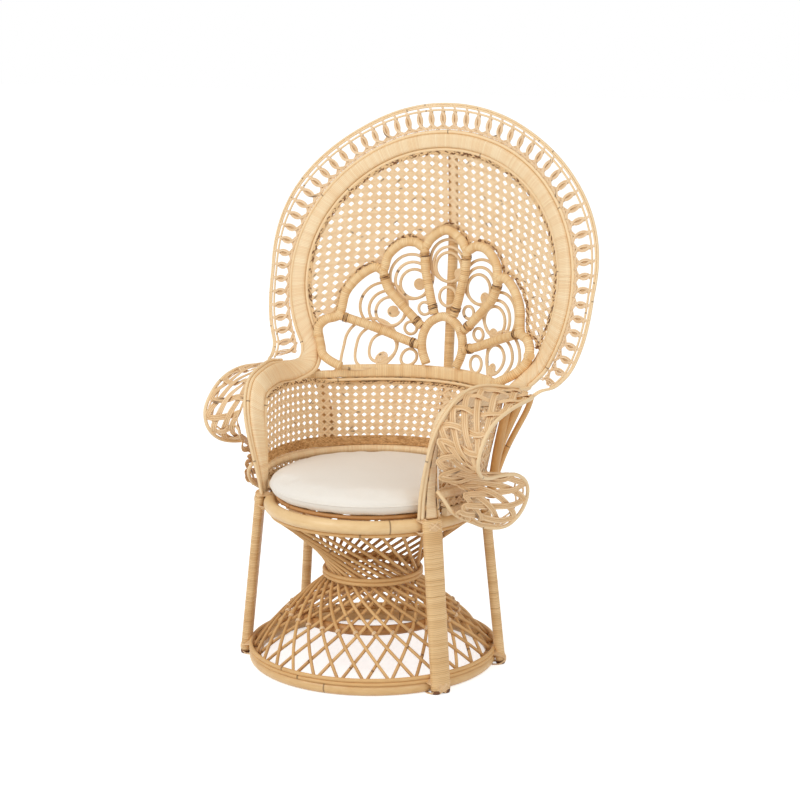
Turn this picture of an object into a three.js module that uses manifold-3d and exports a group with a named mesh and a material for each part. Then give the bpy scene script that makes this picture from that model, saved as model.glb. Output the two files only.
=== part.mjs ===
import * as THREE from 'three';
import { mergeVertices } from 'three/addons/utils/BufferGeometryUtils.js';
import Module from 'manifold-3d';

// Peacock chair of rattan poles, peel and cane, with a loose round cushion.
// Millimetres, +Z up. The chair faces -Y. Left and right are as seen from the front, so right is +X.
// The model is worked out around the middle of the base ring, and the finished chair is then moved
// so that the origin is the middle of its bounding box, on the floor.

const wasm = await Module();
wasm.setup();

// Clearances and mesh fineness
const gap = 0.3;
const poleSides = 8;
const slimPoleSides = 6;
const rodSides = 4;
const thinRodSides = 3;
const discSides = 10;
const cushionSides = 32;
const ringSteps = 44;
const latticeRingSteps = 24;
const hoopSteps = 40;
const armSteps = 26;
const shellSteps = 30;
const rimTailSteps = 5;
const barSteps = 16;
const railSteps = 28;
const petalSteps = 46;
const archSteps = 12;
const spokeSteps = 4;
const loopSteps = 9;
const stepsPerLoop = 4;
const braceSteps = 6;
const postSteps = 20;
const slopeStep = 0.5;
const shareStep = 1e-3;

// Overall size
const overallHeight = 1320;
const overallWidth = 930;

// Base ring, bell and waist
const baseRingRadius = 286;
const basePoleRadius = 14;
const latticeRodRadius = 4;
const latticeRods = 30;
const latticeLayerOffset = 7.2;
const bellSteps = 4;
const coneSteps = 2;
const bellBulge = 14;
const bellTwist = THREE.MathUtils.degToRad(60);
const stretcherHeight = 120;
const stretcherPoleRadius = 12;
const stretcherClearance = 4.2;
const waistRodRadius = 4.7;
const waistHeight = 218;
const waistRingRadius = 117;
const waistClearance = 1.1;

// Seat
const seatRingRadius = 245;
const seatPoleRadius = 15.8;
const seatRingHeight = 386;
const underBeadRadius = 4.5;
const underBeadInset = 2;
const seatFitClearance = 0.8;
const bearerRadius = 9;
const bearerSpacing = 210;
const slatCount = 5;
const slatWidth = 62;
const slatPitch = 84;
const slatThickness = 5;
const deckRodRadius = 5;
const deckRingRadius = 226;

// Cushion
const cushionRadius = 250;
const cushionThickness = 50;

// Legs
const legPoleRadius = 12;
const legClearance = 0.5;
const frontLegAngle = THREE.MathUtils.degToRad(-26.5);
const rearLegAngle = THREE.MathUtils.degToRad(22);

// Back: a shallow dish that bows rearwards and folds forwards at the shoulders
const barBottom = 632;
const barTop = 665;
const barThickness = 12;
const barHalfWidth = 252;
const barBeadRadius = 4;
const barBehind = 13.5;
const barDepthHeight = 660;
const backCentreAtBar = 314;
const backBow = 28;
const dishReach = 330;
const dishDepth = 115;
const dishHeight = 700;
const dishTaperShare = 0.155;
const dishFlattening = 0.13;
const dishFlatPower = 5;
const foldDepth = 84;
const foldHeight = 60;
const foldTop = 720;
const foldReach = 273;

// Hoop
const hoopCentreHeight = 890;
const bandOuterHalfWidth = 399;
const bandOuterRise = 355;
const bandOuterDrop = 380;
const bandWidth = 33;
const bandThickness = 18;
const beadRadius = 5;
const beadClearance = 0.5;
const laceRodRadius = 4.5;
const laceInnerRodRadius = 4;
const laceFlareShare = 3.6;
const laceStrandRadius = 3;
const laceLoops = 58;
const laceClearance = 0.4;
const laceSag = 1.2;
const laceNestle = 1.8;
const laceEndHeight = 684;
const hoopNarrowing = 0.05;
const laceTuck = 0.45;
const laceTuckPower = 4;
const hoopEndAngle = THREE.MathUtils.degToRad(-30);

// Motif: an arch, spokes and petals of wrapped pole, with thin rod scrolls behind them
const motifHalfWidth = 322;
const motifRise = 343;
const framePoleRadius = 11.5;
const frameForward = 22;
const scrollRodRadius = 3.5;
const scrollFootRise = 5;
const scrollNestle = 0.3;
const scrollBehind = framePoleRadius + gap + scrollRodRadius - scrollNestle;
const loopWidthShare = 1.12;
const eyeAngle = THREE.MathUtils.degToRad(110);
const eyeRadius = 17;
const eyeThickness = 7;

// Cane panels and posts
const caneThickness = 4;
const barShare = 0.4;
const upperOpenings = [12, 5];
const lowerOpenings = [12, 6];
const panelLap = 6;
const railRadius = 10;
const railHeight = 412;
const railRingRadius = 263;
const railEndAngle = THREE.MathUtils.degToRad(-17.5);
const postRadius = 12.5;
const braceRadius = 11;
const thinBraceRadius = 7;
const postBottom = 372;
const postLeanShare = 0.12;

// Arms
const armHalfWidth = 300;
const armReach = 154;
const armBaseHeight = 412;
const armRise = 280;
const armBeadRadius = 6;
const armBeadClearance = 0.9;
const armStartShare = 0.02;

// Arm shells
const shellThickness = 6;
const rimRadius = 4.5;
const shellClearance = 2.3;
const rimClearance = 2.4;

const chair = new THREE.Group();

// Colours of the rattan and the cloth
const honey = material(0xd9ac6c, 0.55);
const straw = material(0xe6c28a, 0.6);
const peel = material(0xe9c897, 0.5);
const cane = material(0xdfb77c, 0.65);
const linen = material(0xe9e2d6, 0.95);

function material(color, roughness) {
  return new THREE.MeshStandardMaterial({ color, roughness, metalness: 0 });
}

function place(name, geometry, look) {
  const mesh = new THREE.Mesh(geometry, look);
  mesh.name = name;
  chair.add(mesh);
  return mesh;
}

// Closed solids and their joins

function toManifold(geometry) {
  const bare = geometry.clone();
  bare.deleteAttribute('normal');
  bare.deleteAttribute('uv');
  const merged = mergeVertices(bare);
  return new wasm.Manifold(new wasm.Mesh({
    numProp: 3,
    vertProperties: new Float32Array(merged.attributes.position.array),
    triVerts: new Uint32Array(merged.index.array),
  }));
}

function toGeometry(manifold) {
  const mesh = manifold.getMesh();
  const geometry = new THREE.BufferGeometry();
  geometry.setAttribute('position', new THREE.BufferAttribute(new Float32Array(mesh.vertProperties), 3));
  geometry.setIndex(new THREE.BufferAttribute(new Uint32Array(mesh.triVerts), 1));
  geometry.computeVertexNormals();
  return geometry;
}

function join(geometries) {
  let whole = toManifold(geometries[0]);
  for (const geometry of geometries.slice(1)) {
    whole = whole.add(toManifold(geometry));
  }
  return toGeometry(whole);
}

// Four corners lie at the ends of the section's axes, and more than four lie half a side away from them
function section(radius, sides) {
  const corners = [];
  for (let side = 0; side < sides; side += 1) {
    const angle = (side + (sides === 4 ? 0 : 0.5)) / sides * 2 * Math.PI;
    corners.push(new THREE.Vector2(radius * Math.cos(angle), radius * Math.sin(angle)));
  }
  return corners;
}

// How far a section's flats lie from its middle
function flatReach(radius, sides) {
  return radius * Math.cos(Math.PI / sides);
}

// A rod of even thickness along a curve
function rod(curve, radius, steps, sides = rodSides) {
  return new THREE.ExtrudeGeometry(new THREE.Shape(section(radius, sides)), {
    steps,
    bevelEnabled: false,
    extrudePath: curve,
  });
}

// A level ring of rod around the Z axis, whose section's flats or corners lie a rod's radius
// from its middle
function ring(ringRadius, height, rodRadius, sides = rodSides, steps = ringSteps) {
  const reach = sides === 4 ? rodRadius : rodRadius ** 2 / flatReach(rodRadius, sides);
  const profile = section(reach, sides).map((corner) => {
    return new THREE.Vector2(ringRadius + corner.y, height + corner.x);
  });
  profile.reverse();
  profile.push(profile[0].clone());
  const geometry = new THREE.LatheGeometry(profile, steps);
  geometry.rotateX(Math.PI / 2);
  return geometry;
}

// Curves whose stations lie at even steps of their own share, so that neighbours' stations line up
class SteadyCurve extends THREE.Curve {
  constructor(at) {
    super();
    this.at = at;
  }

  getPoint(share) {
    return this.at(share);
  }

  getPointAt(share) {
    return this.at(share);
  }

  getTangentAt(share) {
    return this.getTangent(share);
  }
}

function smooth(points) {
  return new THREE.CatmullRomCurve3(points);
}

function point(x, y, z) {
  return new THREE.Vector3(x, y, z);
}

function mirrored(points) {
  return points.map((each) => point(-each.x, each.y, each.z));
}

// Shares of the way at the ends of even steps
function evenStations(steps) {
  return Array.from({ length: steps + 1 }, (unused, step) => step / steps);
}

// Shares of the way at the edges of bars and openings by turns, with a bar first and last
function openworkStations(openings) {
  const pitch = 1 / (openings + barShare);
  return evenStations(openings).flatMap((unused, number) => [number * pitch, (number + barShare) * pitch]);
}

// A closed solid of even thickness over a grid of points: at(u, v) with u and v from 0 to 1
function sheet(at, columns, rows, thickness) {
  return gridSheet(at, evenStations(columns), evenStations(rows), thickness, () => false);
}

// The same with a plain grid of openings, so many along and so many across
function openworkSheet(at, along, across, thickness) {
  const isOpen = (column, row) => column % 2 === 1 && row % 2 === 1;
  return gridSheet(at, openworkStations(along), openworkStations(across), thickness, isOpen);
}

function gridSheet(at, uStations, vStations, thickness, isOpen) {
  const front = [];
  const back = [];
  for (const v of vStations) {
    for (const u of uStations) {
      const along = at(Math.min(u + shareStep, 1), v).sub(at(Math.max(u - shareStep, 0), v));
      const across = at(u, Math.min(v + shareStep, 1)).sub(at(u, Math.max(v - shareStep, 0)));
      const normal = along.cross(across).setLength(thickness / 2);
      front.push(at(u, v).add(normal));
      back.push(at(u, v).sub(normal));
    }
  }
  const columns = uStations.length - 1;
  const rows = vStations.length - 1;
  const behind = front.length;
  const isSolid = (column, row) => {
    return column >= 0 && column < columns && row >= 0 && row < rows && !isOpen(column, row);
  };
  const index = [];
  for (let row = 0; row < rows; row += 1) {
    for (let column = 0; column < columns; column += 1) {
      if (isSolid(column, row)) {
        const corner = row * (columns + 1) + column;
        const corners = [corner, corner + 1, corner + columns + 2, corner + columns + 1];
        const beyond = [[column, row - 1], [column + 1, row], [column, row + 1], [column - 1, row]];
        addPlate(index, corners, behind, beyond.map((each) => !isSolid(...each)));
      }
    }
  }
  const points = [...front, ...back];
  return closedGeometry(points, index);
}

// One cell of a sheet: its front, its back, and a wall along each bare side
function addPlate(index, corners, behind, bareSides) {
  const [a, b, c, d] = corners;
  quad(index, a, b, c, d);
  quad(index, behind + a, behind + d, behind + c, behind + b);
  bareSides.forEach((bare, side) => {
    if (bare) {
      const from = corners[side];
      const to = corners[(side + 1) % corners.length];
      quad(index, to, from, behind + from, behind + to);
    }
  });
}

function quad(index, a, b, c, d) {
  index.push(a, b, c, a, c, d);
}

// An indexed geometry whose faces point out
function closedGeometry(points, index) {
  const geometry = new THREE.BufferGeometry().setFromPoints(points);
  let volume = 0;
  for (let start = 0; start < index.length; start += 3) {
    const [a, b, c] = [points[index[start]], points[index[start + 1]], points[index[start + 2]]];
    volume += a.dot(b.clone().cross(c));
  }
  geometry.setIndex(volume < 0 ? index.slice().reverse() : index);
  geometry.computeVertexNormals();
  return geometry;
}

// Pedestal

const bellFootHeight = 2 * basePoleRadius + gap + latticeRodRadius;
const bellFootRadius = baseRingRadius;
const bellTopHeight = waistHeight - 2 * waistRodRadius - 2 * gap;
const waistOuterRodRadius = waistRingRadius - waistRodRadius - waistClearance - latticeRodRadius;
const bellTopRadius = waistOuterRodRadius - latticeLayerOffset;
const underBeadHeight = seatRingHeight - seatPoleRadius - gap - underBeadRadius;
const coneTopRadius = seatRingRadius - underBeadInset;

function bellRadius(height) {
  const share = (height - bellFootHeight) / (bellTopHeight - bellFootHeight);
  return bellFootRadius + (bellTopRadius - bellFootRadius) * share + 4 * bellBulge * share * (1 - share);
}

function bellSlope(height) {
  const share = (height - bellFootHeight) / (bellTopHeight - bellFootHeight);
  const bulging = 4 * bellBulge * (1 - 2 * share);
  return (bellTopRadius - bellFootRadius + bulging) / (bellTopHeight - bellFootHeight);
}

// Rods keep a steady slant down the bell, so their turn follows the logarithm of the radius
function bellTurn(radius) {
  return bellTwist * Math.log(radius / bellTopRadius) / Math.log(bellFootRadius / bellTopRadius);
}

function aroundAxis(radius, angle, height) {
  return point(radius * Math.cos(angle), radius * Math.sin(angle), height);
}

function bellPath(direction, layer, steps) {
  const points = [];
  for (let step = 0; step <= steps; step += 1) {
    const height = bellFootHeight + (bellTopHeight - bellFootHeight) * step / steps;
    const radius = bellRadius(height);
    points.push(aroundAxis(radius + layer, direction * bellTurn(radius), height));
  }
  return points;
}

// Above the waist each outer rod runs straight, as a chord that grazes the waist
function conePath(steps) {
  const sweep = Math.acos(waistOuterRodRadius / coneTopRadius);
  const start = aroundAxis(waistOuterRodRadius, 0, waistHeight);
  const end = aroundAxis(coneTopRadius, -sweep, underBeadHeight);
  const points = [];
  for (let step = 1; step <= steps; step += 1) {
    points.push(start.clone().lerp(end, step / steps));
  }
  return points;
}

function spunRods(path) {
  const line = smooth(path);
  const stations = new SteadyCurve((share) => line.getPoint(share));
  const rods = [];
  for (let copy = 0; copy < latticeRods; copy += 1) {
    const geometry = rod(stations, latticeRodRadius, path.length - 1, thinRodSides);
    geometry.rotateZ(copy / latticeRods * 2 * Math.PI);
    rods.push(geometry);
  }
  return rods;
}

const outerPath = [
  ...bellPath(1, latticeLayerOffset, bellSteps),
  aroundAxis(waistOuterRodRadius, 0, waistHeight),
  ...conePath(coneSteps),
];
const innerPath = bellPath(-1, -latticeLayerOffset, bellSteps);

function addPedestal() {
  const thinRing = (radius, height, rodRadius, sides = rodSides) => {
    return ring(radius, height, rodRadius, sides, latticeRingSteps);
  };
  place('base_ring', ring(baseRingRadius, basePoleRadius, basePoleRadius, poleSides), honey);
  place('bell_outer_rods', join([
    thinRing(bellFootRadius + latticeLayerOffset, bellFootHeight, latticeRodRadius),
    thinRing(coneTopRadius, underBeadHeight, underBeadRadius),
    ...spunRods(outerPath),
  ]), straw);
  place('bell_inner_rods', join([
    thinRing(bellFootRadius - latticeLayerOffset, bellFootHeight, latticeRodRadius),
    ...spunRods(innerPath),
  ]), straw);
  const slant = Math.hypot(1, bellSlope(stretcherHeight));
  const stretcherRadius = bellRadius(stretcherHeight) - latticeLayerOffset - stretcherClearance
    - (latticeRodRadius + stretcherPoleRadius) * slant;
  const stretcher = thinRing(stretcherRadius, stretcherHeight, stretcherPoleRadius, slimPoleSides);
  place('bell_stretcher_ring', stretcher, honey);
  const waistStep = waistRodRadius + gap / 2;
  place('waist_ring_lower', thinRing(waistRingRadius, waistHeight - waistStep, waistRodRadius), straw);
  place('waist_ring_upper', thinRing(waistRingRadius, waistHeight + waistStep, waistRodRadius), straw);
}

// Seat

const slatTop = seatRingHeight + flatReach(bearerRadius, slimPoleSides) + gap + slatThickness;
const deckRingHeight = slatTop + gap + deckRodRadius;
const cushionBottom = deckRingHeight + deckRodRadius + gap;

function addSeat() {
  place('seat_ring', ring(seatRingRadius, seatRingHeight, seatPoleRadius, poleSides), honey);
  const seatInside = seatRingRadius - seatPoleRadius - seatFitClearance;
  for (const [side, name] of [[-1, 'front'], [1, 'rear']]) {
    const y = side * bearerSpacing / 2;
    const reach = Math.sqrt(seatInside ** 2 - (bearerSpacing / 2 + bearerRadius) ** 2);
    const line = new THREE.LineCurve3(point(-reach, y, seatRingHeight), point(reach, y, seatRingHeight));
    place(`seat_bearer_${name}`, rod(line, bearerRadius, 1, slimPoleSides), honey);
  }
  for (let number = 0; number < slatCount; number += 1) {
    const x = (number - (slatCount - 1) / 2) * slatPitch;
    const length = 2 * Math.sqrt(seatInside ** 2 - (Math.abs(x) + slatWidth / 2) ** 2);
    const slat = new THREE.BoxGeometry(slatWidth, length, slatThickness);
    slat.translate(x, 0, slatTop - slatThickness / 2);
    place(`seat_slat_${number + 1}`, slat, cane);
  }
  const deckRing = ring(deckRingRadius, deckRingHeight, deckRodRadius, rodSides, latticeRingSteps);
  place('seat_deck_ring', deckRing, honey);
}

// Half of the cushion's section, as shares of its radius and of its thickness
const cushionSectionShares = [
  [0, 0], [0.92, 0], [0.965, 0.1], [0.99, 0.3], [1, 0.48], [0.97, 0.68], [0.88, 0.84],
  [0.68, 0.95], [0.36, 0.99], [0, 1],
];

function addCushion() {
  const profile = cushionSectionShares.map(([out, up]) => {
    return new THREE.Vector2(out * cushionRadius, cushionBottom + up * cushionThickness);
  });
  const geometry = new THREE.LatheGeometry(profile, cushionSides);
  geometry.rotateX(Math.PI / 2);
  place('cushion', geometry, linen);
}

// Legs: each one leans in from the base ring to the seat ring, and its ends are cut level

const legTopHeight = railHeight - flatReach(railRadius, slimPoleSides) - gap;

function legReach(height) {
  const lowReach = baseRingRadius + basePoleRadius + legClearance + legPoleRadius;
  const highReach = seatRingRadius + seatPoleRadius + legClearance + legPoleRadius;
  const share = (height - basePoleRadius) / (seatRingHeight - basePoleRadius);
  return lowReach + (highReach - lowReach) * share;
}

function legPole(angle, sideways) {
  const pole = new THREE.CylinderGeometry(legPoleRadius, legPoleRadius, legTopHeight, poleSides);
  pole.rotateX(Math.PI / 2);
  pole.translate(0, sideways, legTopHeight / 2);
  const lean = (legReach(legTopHeight) - legReach(0)) / legTopHeight;
  pole.applyMatrix4(new THREE.Matrix4().makeShear(0, 0, 0, 0, lean, 0));
  pole.translate(legReach(0), 0, 0);
  pole.rotateZ(angle);
  return pole;
}

function addLegs() {
  const apart = legPoleRadius + gap / 2;
  for (const [side, turn] of [['right', (angle) => angle], ['left', (angle) => Math.PI - angle]]) {
    const outward = side === 'right' ? 1 : -1;
    place(`${side}_front_leg_fore_pole`, legPole(turn(frontLegAngle), -outward * apart), peel);
    place(`${side}_front_leg_aft_pole`, legPole(turn(frontLegAngle), outward * apart), peel);
    place(`${side}_rear_leg`, legPole(turn(rearLegAngle), 0), peel);
  }
}

// The surface that the hoop, the cane and the motif lie on

function backDepth(x, z) {
  const height = Math.max(z, barDepthHeight);
  const below = (overallHeight - height) / (overallHeight - barTop);
  const middle = backCentreAtBar + backBow * (1 - below ** 2);
  const dish = Math.max(dishDepth - (height - dishHeight) * dishTaperShare, 0);
  const out = Math.abs(x) / dishReach;
  const fold = Math.max(foldTop - height, 0) / foldHeight;
  const folded = Math.min(Math.abs(x) / foldReach, 1);
  const bowed = out ** 2 / (1 + dishFlattening * out ** dishFlatPower);
  return middle - dish * bowed - foldDepth * (fold * folded) ** 2;
}

// A place on the back, or square behind it
function onBack(x, z, behind = 0) {
  const across = (backDepth(x + slopeStep, z) - backDepth(x - slopeStep, z)) / (2 * slopeStep);
  const up = (backDepth(x, z + slopeStep) - backDepth(x, z - slopeStep)) / (2 * slopeStep);
  return point(-across, 1, -up).setLength(behind).add(point(x, backDepth(x, z), z));
}

// Hoop: places are told by an angle and by the distance outside the band's outer edge

const laceOuterOffset = overallWidth / 2 - laceRodRadius - bandOuterHalfWidth;
const beadOffset = gap + beadRadius;
const laceFootOffset = beadOffset + beadRadius + laceClearance + laceStrandRadius - laceNestle;
const laceInnerOffset = laceOuterOffset - laceRodRadius - laceClearance - laceInnerRodRadius;
const laceRiseShare = (overallHeight - laceRodRadius - hoopCentreHeight - bandOuterRise) / laceOuterOffset;

function hoopDrop(outward) {
  const flare = 1 + Math.max(outward, 0) * laceFlareShare / bandOuterDrop;
  return (bandOuterDrop + Math.min(outward, 0)) * flare;
}

// Below its middle the hoop draws in a little, and the lace draws in further towards its ends
function hoopAcross(angle, outward) {
  const below = Math.max(hoopCentreHeight - hoopHeight(angle, outward), 0);
  const tuck = laceTuck * (below / (hoopCentreHeight - laceEndHeight)) ** laceTuckPower;
  const reach = bandOuterHalfWidth + outward - Math.max(outward - laceFootOffset, 0) * tuck;
  return reach * (1 - hoopNarrowing * Math.max(-Math.sin(angle), 0) ** 2) * Math.cos(angle);
}

function hoopHeight(angle, outward) {
  const rise = bandOuterRise + outward * (outward > 0 ? laceRiseShare : 1);
  return hoopCentreHeight + (Math.sin(angle) > 0 ? rise : hoopDrop(outward)) * Math.sin(angle);
}

function onHoop(angle, outward) {
  return onBack(hoopAcross(angle, outward), hoopHeight(angle, outward));
}

function hoopAngle(endAngle, share) {
  return endAngle + share * (Math.PI - 2 * endAngle);
}

function hoopCurve(outward, endAngle = hoopEndAngle) {
  return new SteadyCurve((share) => onHoop(hoopAngle(endAngle, share), outward));
}

const laceEndAngle = -Math.asin((hoopCentreHeight - laceEndHeight) / hoopDrop(laceOuterOffset));

function laceCurve(outward) {
  return hoopCurve(outward, laceEndAngle);
}

function addHoop() {
  const outerEdge = hoopCurve(0);
  const innerEdge = hoopCurve(-bandWidth);
  const band = (u, v) => outerEdge.at(u).lerp(innerEdge.at(u), v);
  place('hoop_band', sheet(band, hoopSteps, 1, bandThickness), peel);
  place('hoop_outer_bead', rod(hoopCurve(beadOffset), beadRadius, hoopSteps), straw);
  place('hoop_inner_bead', rod(hoopCurve(-bandWidth - beadOffset), beadRadius, hoopSteps), straw);
  const laceInner = laceCurve(laceInnerOffset);
  place('lace_inner_rod', rod(laceInner, laceInnerRodRadius, hoopSteps, thinRodSides), straw);
  place('lace_outer_rod', rod(laceCurve(laceOuterOffset), laceRodRadius, hoopSteps), straw);
  const low = laceCurve(laceFootOffset);
  const high = laceCurve(laceInnerOffset - laceInnerRodRadius - laceClearance - laceSag - laceStrandRadius);
  const strand = new SteadyCurve((share) => {
    return low.at(share).lerp(high.at(share), (1 + Math.cos(share * laceLoops * 2 * Math.PI)) / 2);
  });
  place('lace_strand', rod(strand, laceStrandRadius, laceLoops * stepsPerLoop, thinRodSides), straw);
}

// Arms: the band goes on from the hoop's end, forwards along the arm and down to the front leg.
// Places on the right side, as shares of the arm's half width, reach and rise.

function onArm([across, forward, up]) {
  return point(across * armHalfWidth, forward * armReach, armBaseHeight + up * armRise);
}

const armOuterShares = [
  [1.11, 1, 0.945], [1.08, 0.52, 0.97], [1, 0, 1], [0.973, -0.325, 0.986], [0.947, -0.69, 0.921],
  [0.907, -0.9, 0.779], [0.873, -0.987, 0.6], [0.833, -1, 0.386], [0.803, -0.994, 0.171],
  [0.793, -0.968, -0.024],
];
const armInnerShares = [
  [0.933, 1.026, 0.896], [0.937, 0.52, 0.832], [0.907, 0, 0.85], [0.873, -0.26, 0.843],
  [0.823, -0.584, 0.807],
  [0.81, -0.669, 0.7], [0.803, -0.682, 0.564], [0.797, -0.669, 0.371], [0.795, -0.656, 0.171],
  [0.833, -0.636, -0.024],
];

function toSide(points, side) {
  return side === 'left' ? mirrored(points) : points;
}

function armBand(side) {
  const outer = smooth(toSide([onHoop(hoopEndAngle, 0), ...armOuterShares.map(onArm)], side));
  const inner = smooth(toSide([onHoop(hoopEndAngle, -bandWidth), ...armInnerShares.map(onArm)], side));
  return (u, v) => {
    const share = armStartShare + (1 - armStartShare) * u;
    return outer.getPoint(share).lerp(inner.getPoint(share), v);
  };
}

// A place beside an edge of a ruled sheet, in the sheet's own plane and square to that edge
function beside(at, share, edge, distance) {
  const here = at(share, edge);
  const before = at(Math.max(share - shareStep, 0), edge);
  const along = at(Math.min(share + shareStep, 1), edge).sub(before).normalize();
  const outward = here.clone().sub(at(share, 1 - edge));
  outward.addScaledVector(along, -outward.dot(along));
  return outward.setLength(distance).add(here);
}

// Starts one station in, where the hoop's own bead has ended
function edgeBead(at, edge, radius, steps) {
  const curve = new SteadyCurve((share) => {
    return beside(at, (1 + share * (steps - 1)) / steps, edge, armBeadClearance + radius);
  });
  return rod(curve, radius, steps - 1);
}

// Shells: a woven strip hangs out and down from each arm and rolls in under it. Its inner edge starts
// along the arm's outer bead, at these shares of the arm band's length, and then goes its own way.

const shellSeatShares = [0.15, 0.22, 0.3, 0.4, 0.5, 0.6];
const shellInnerShares = [
  [0.943, -1.006, 0.636], [0.933, -0.987, 0.457], [0.937, -0.91, 0.332], [0.96, -0.65, 0.279],
  [1.01, -0.584, 0.236], [1.04, -0.584, 0.154], [1.027, -0.617, 0.064], [0.993, -0.68, 0.03],
];
const shellRimShares = [
  [1.373, 0.78, 0.914], [1.38, 0.357, 0.932], [1.347, -0.195, 0.9], [1.327, -0.584, 0.807],
  [1.32, -0.818, 0.657], [1.297, -0.844, 0.529], [1.267, -0.714, 0.421], [1.247, -0.455, 0.354],
  [1.233, -0.065, 0.314], [1.293, 0.292, 0.286], [1.323, 0.52, 0.193], [1.313, 0.571, 0.071],
  [1.283, 0.468, -0.061], [1.213, 0.26, -0.157], [1.117, -0.032, -0.146], [1.027, -0.26, -0.086],
];
const rimTailShares = [[0.97, -0.52, -0.02], [0.95, -0.7, 0.05], [0.93, -0.8, 0.14], [0.87, -0.83, 0.22]];

function shellSheet(side) {
  const band = armBand(side);
  const rim = smooth(toSide(shellRimShares.map(onArm), side));
  const seat = shellSeatShares.map((share, number) => {
    const bead = beside(band, share, 0, armBeadClearance + armBeadRadius);
    const outward = rim.getPoint(number / (shellRimShares.length - 1)).sub(bead);
    return outward.setLength(armBeadRadius + shellClearance).add(bead);
  });
  const inner = smooth([...seat, ...toSide(shellInnerShares.map(onArm), side)]);
  return (u, v) => inner.getPoint(u).lerp(rim.getPoint(u), v);
}

function shellRim(at, side) {
  const points = [];
  for (let step = 0; step <= shellSteps; step += 1) {
    points.push(beside(at, step / shellSteps, 1, rimClearance + rimRadius));
  }
  points.push(...toSide(rimTailShares.map(onArm), side));
  return rod(smooth(points), rimRadius, shellSteps + rimTailSteps, thinRodSides);
}

function addArms() {
  for (const side of ['right', 'left']) {
    const band = armBand(side);
    place(`${side}_arm_band`, sheet(band, armSteps, 1, bandThickness), peel);
    place(`${side}_arm_outer_bead`, edgeBead(band, 0, armBeadRadius, armSteps), straw);
    place(`${side}_arm_inner_bead`, edgeBead(band, 1, beadRadius, armSteps), straw);
    const shell = shellSheet(side);
    place(`${side}_arm_shell`, sheet(shell, shellSteps, 1, shellThickness), cane);
    place(`${side}_shell_rim`, shellRim(shell, side), straw);
  }
}

// Bar across the foot of the back

const beadUnderBar = barBottom - gap - barBeadRadius;

function onBar(across, z) {
  const here = onBack(across, barBottom, barBehind);
  return point(here.x, here.y, z);
}

function addBar() {
  const bar = (u, v) => onBar((2 * u - 1) * barHalfWidth, barBottom + (barTop - barBottom) * v);
  place('back_bar', sheet(bar, barSteps, 1, barThickness), peel);
  const bead = new SteadyCurve((share) => onBar((2 * share - 1) * barHalfWidth, beadUnderBar));
  place('back_bar_bead', rod(bead, barBeadRadius, barSteps), straw);
}

// Motif: places on the right half, as shares of its half width and of its rise above the bar

function onMotif(x, z, behind = 0) {
  return onBack(x, z, behind - frameForward * (x / motifHalfWidth) ** 2);
}

function motifPlace([across, up], outward = 0) {
  const spot = new THREE.Vector2(across * motifHalfWidth, up * motifRise);
  spot.setLength(spot.length() + outward);
  return [spot.x, barTop + spot.y];
}

const petalShares = [
  [0, 1], [0.137, 0.933], [0.193, 0.866], [0.273, 0.898], [0.373, 0.889], [0.488, 0.796], [0.528, 0.682],
  [0.581, 0.703], [0.693, 0.644], [0.798, 0.516], [0.839, 0.344], [0.932, 0.306],
];
const petalTailShares = [
  [0.97, 0.25], [0.945, 0.165], [0.895, 0.1], [0.82, 0.045], [0.76, 0.01], [0.71, -0.01],
];
const spokeShares = [
  [[0.193, 0.866], [0.18, 0.714], [0.152, 0.603], [0.124, 0.496], [0.087, 0.385]],
  [[0.528, 0.682], [0.481, 0.554], [0.391, 0.461], [0.289, 0.37], [0.193, 0.289]],
  [[0.839, 0.344], [0.668, 0.294], [0.503, 0.242], [0.342, 0.187], [0.205, 0.149]],
];
const archShares = [[0, 0.373], [0.124, 0.321], [0.18, 0.224], [0.18, 0.117], [0.137, 0.018]];

function acrossMotif(shares) {
  const half = shares.map((each) => onMotif(...motifPlace(each)));
  return smooth([...mirrored(half).reverse(), ...half.slice(1)]);
}

function addPetalFrame() {
  const poles = [
    rod(acrossMotif([...petalShares, ...petalTailShares]), framePoleRadius, petalSteps, slimPoleSides),
    rod(acrossMotif(archShares), framePoleRadius, archSteps, slimPoleSides),
  ];
  for (const shares of spokeShares) {
    const spoke = shares.map((each) => onMotif(...motifPlace(each)));
    for (const path of [spoke, mirrored(spoke)]) {
      poles.push(rod(smooth(path), framePoleRadius, spokeSteps, slimPoleSides));
    }
  }
  place('petal_frame', join(poles), peel);
}

// Scrolls: from the outermost petal to the middle one, the tilt of the petal's axis, and shares of the
// motif's rise for where the rings start, how far the outer loop reaches and the two rings' radii
const scrollTilts = [13, 40, 65, 90];
const scrollShares = [
  { near: 0.382, far: 0.925, ring: 0.105, knob: 0.067 },
  { near: 0.464, far: 0.862, ring: 0.117, knob: 0.057 },
  { near: 0.522, far: 0.932, ring: 0.117, knob: 0.057 },
  { near: 0.606, far: 0.97, ring: 0.118, knob: 0.082 },
];
const scrollNames = ['outer', 'middle', 'inner', 'centre'];

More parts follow.
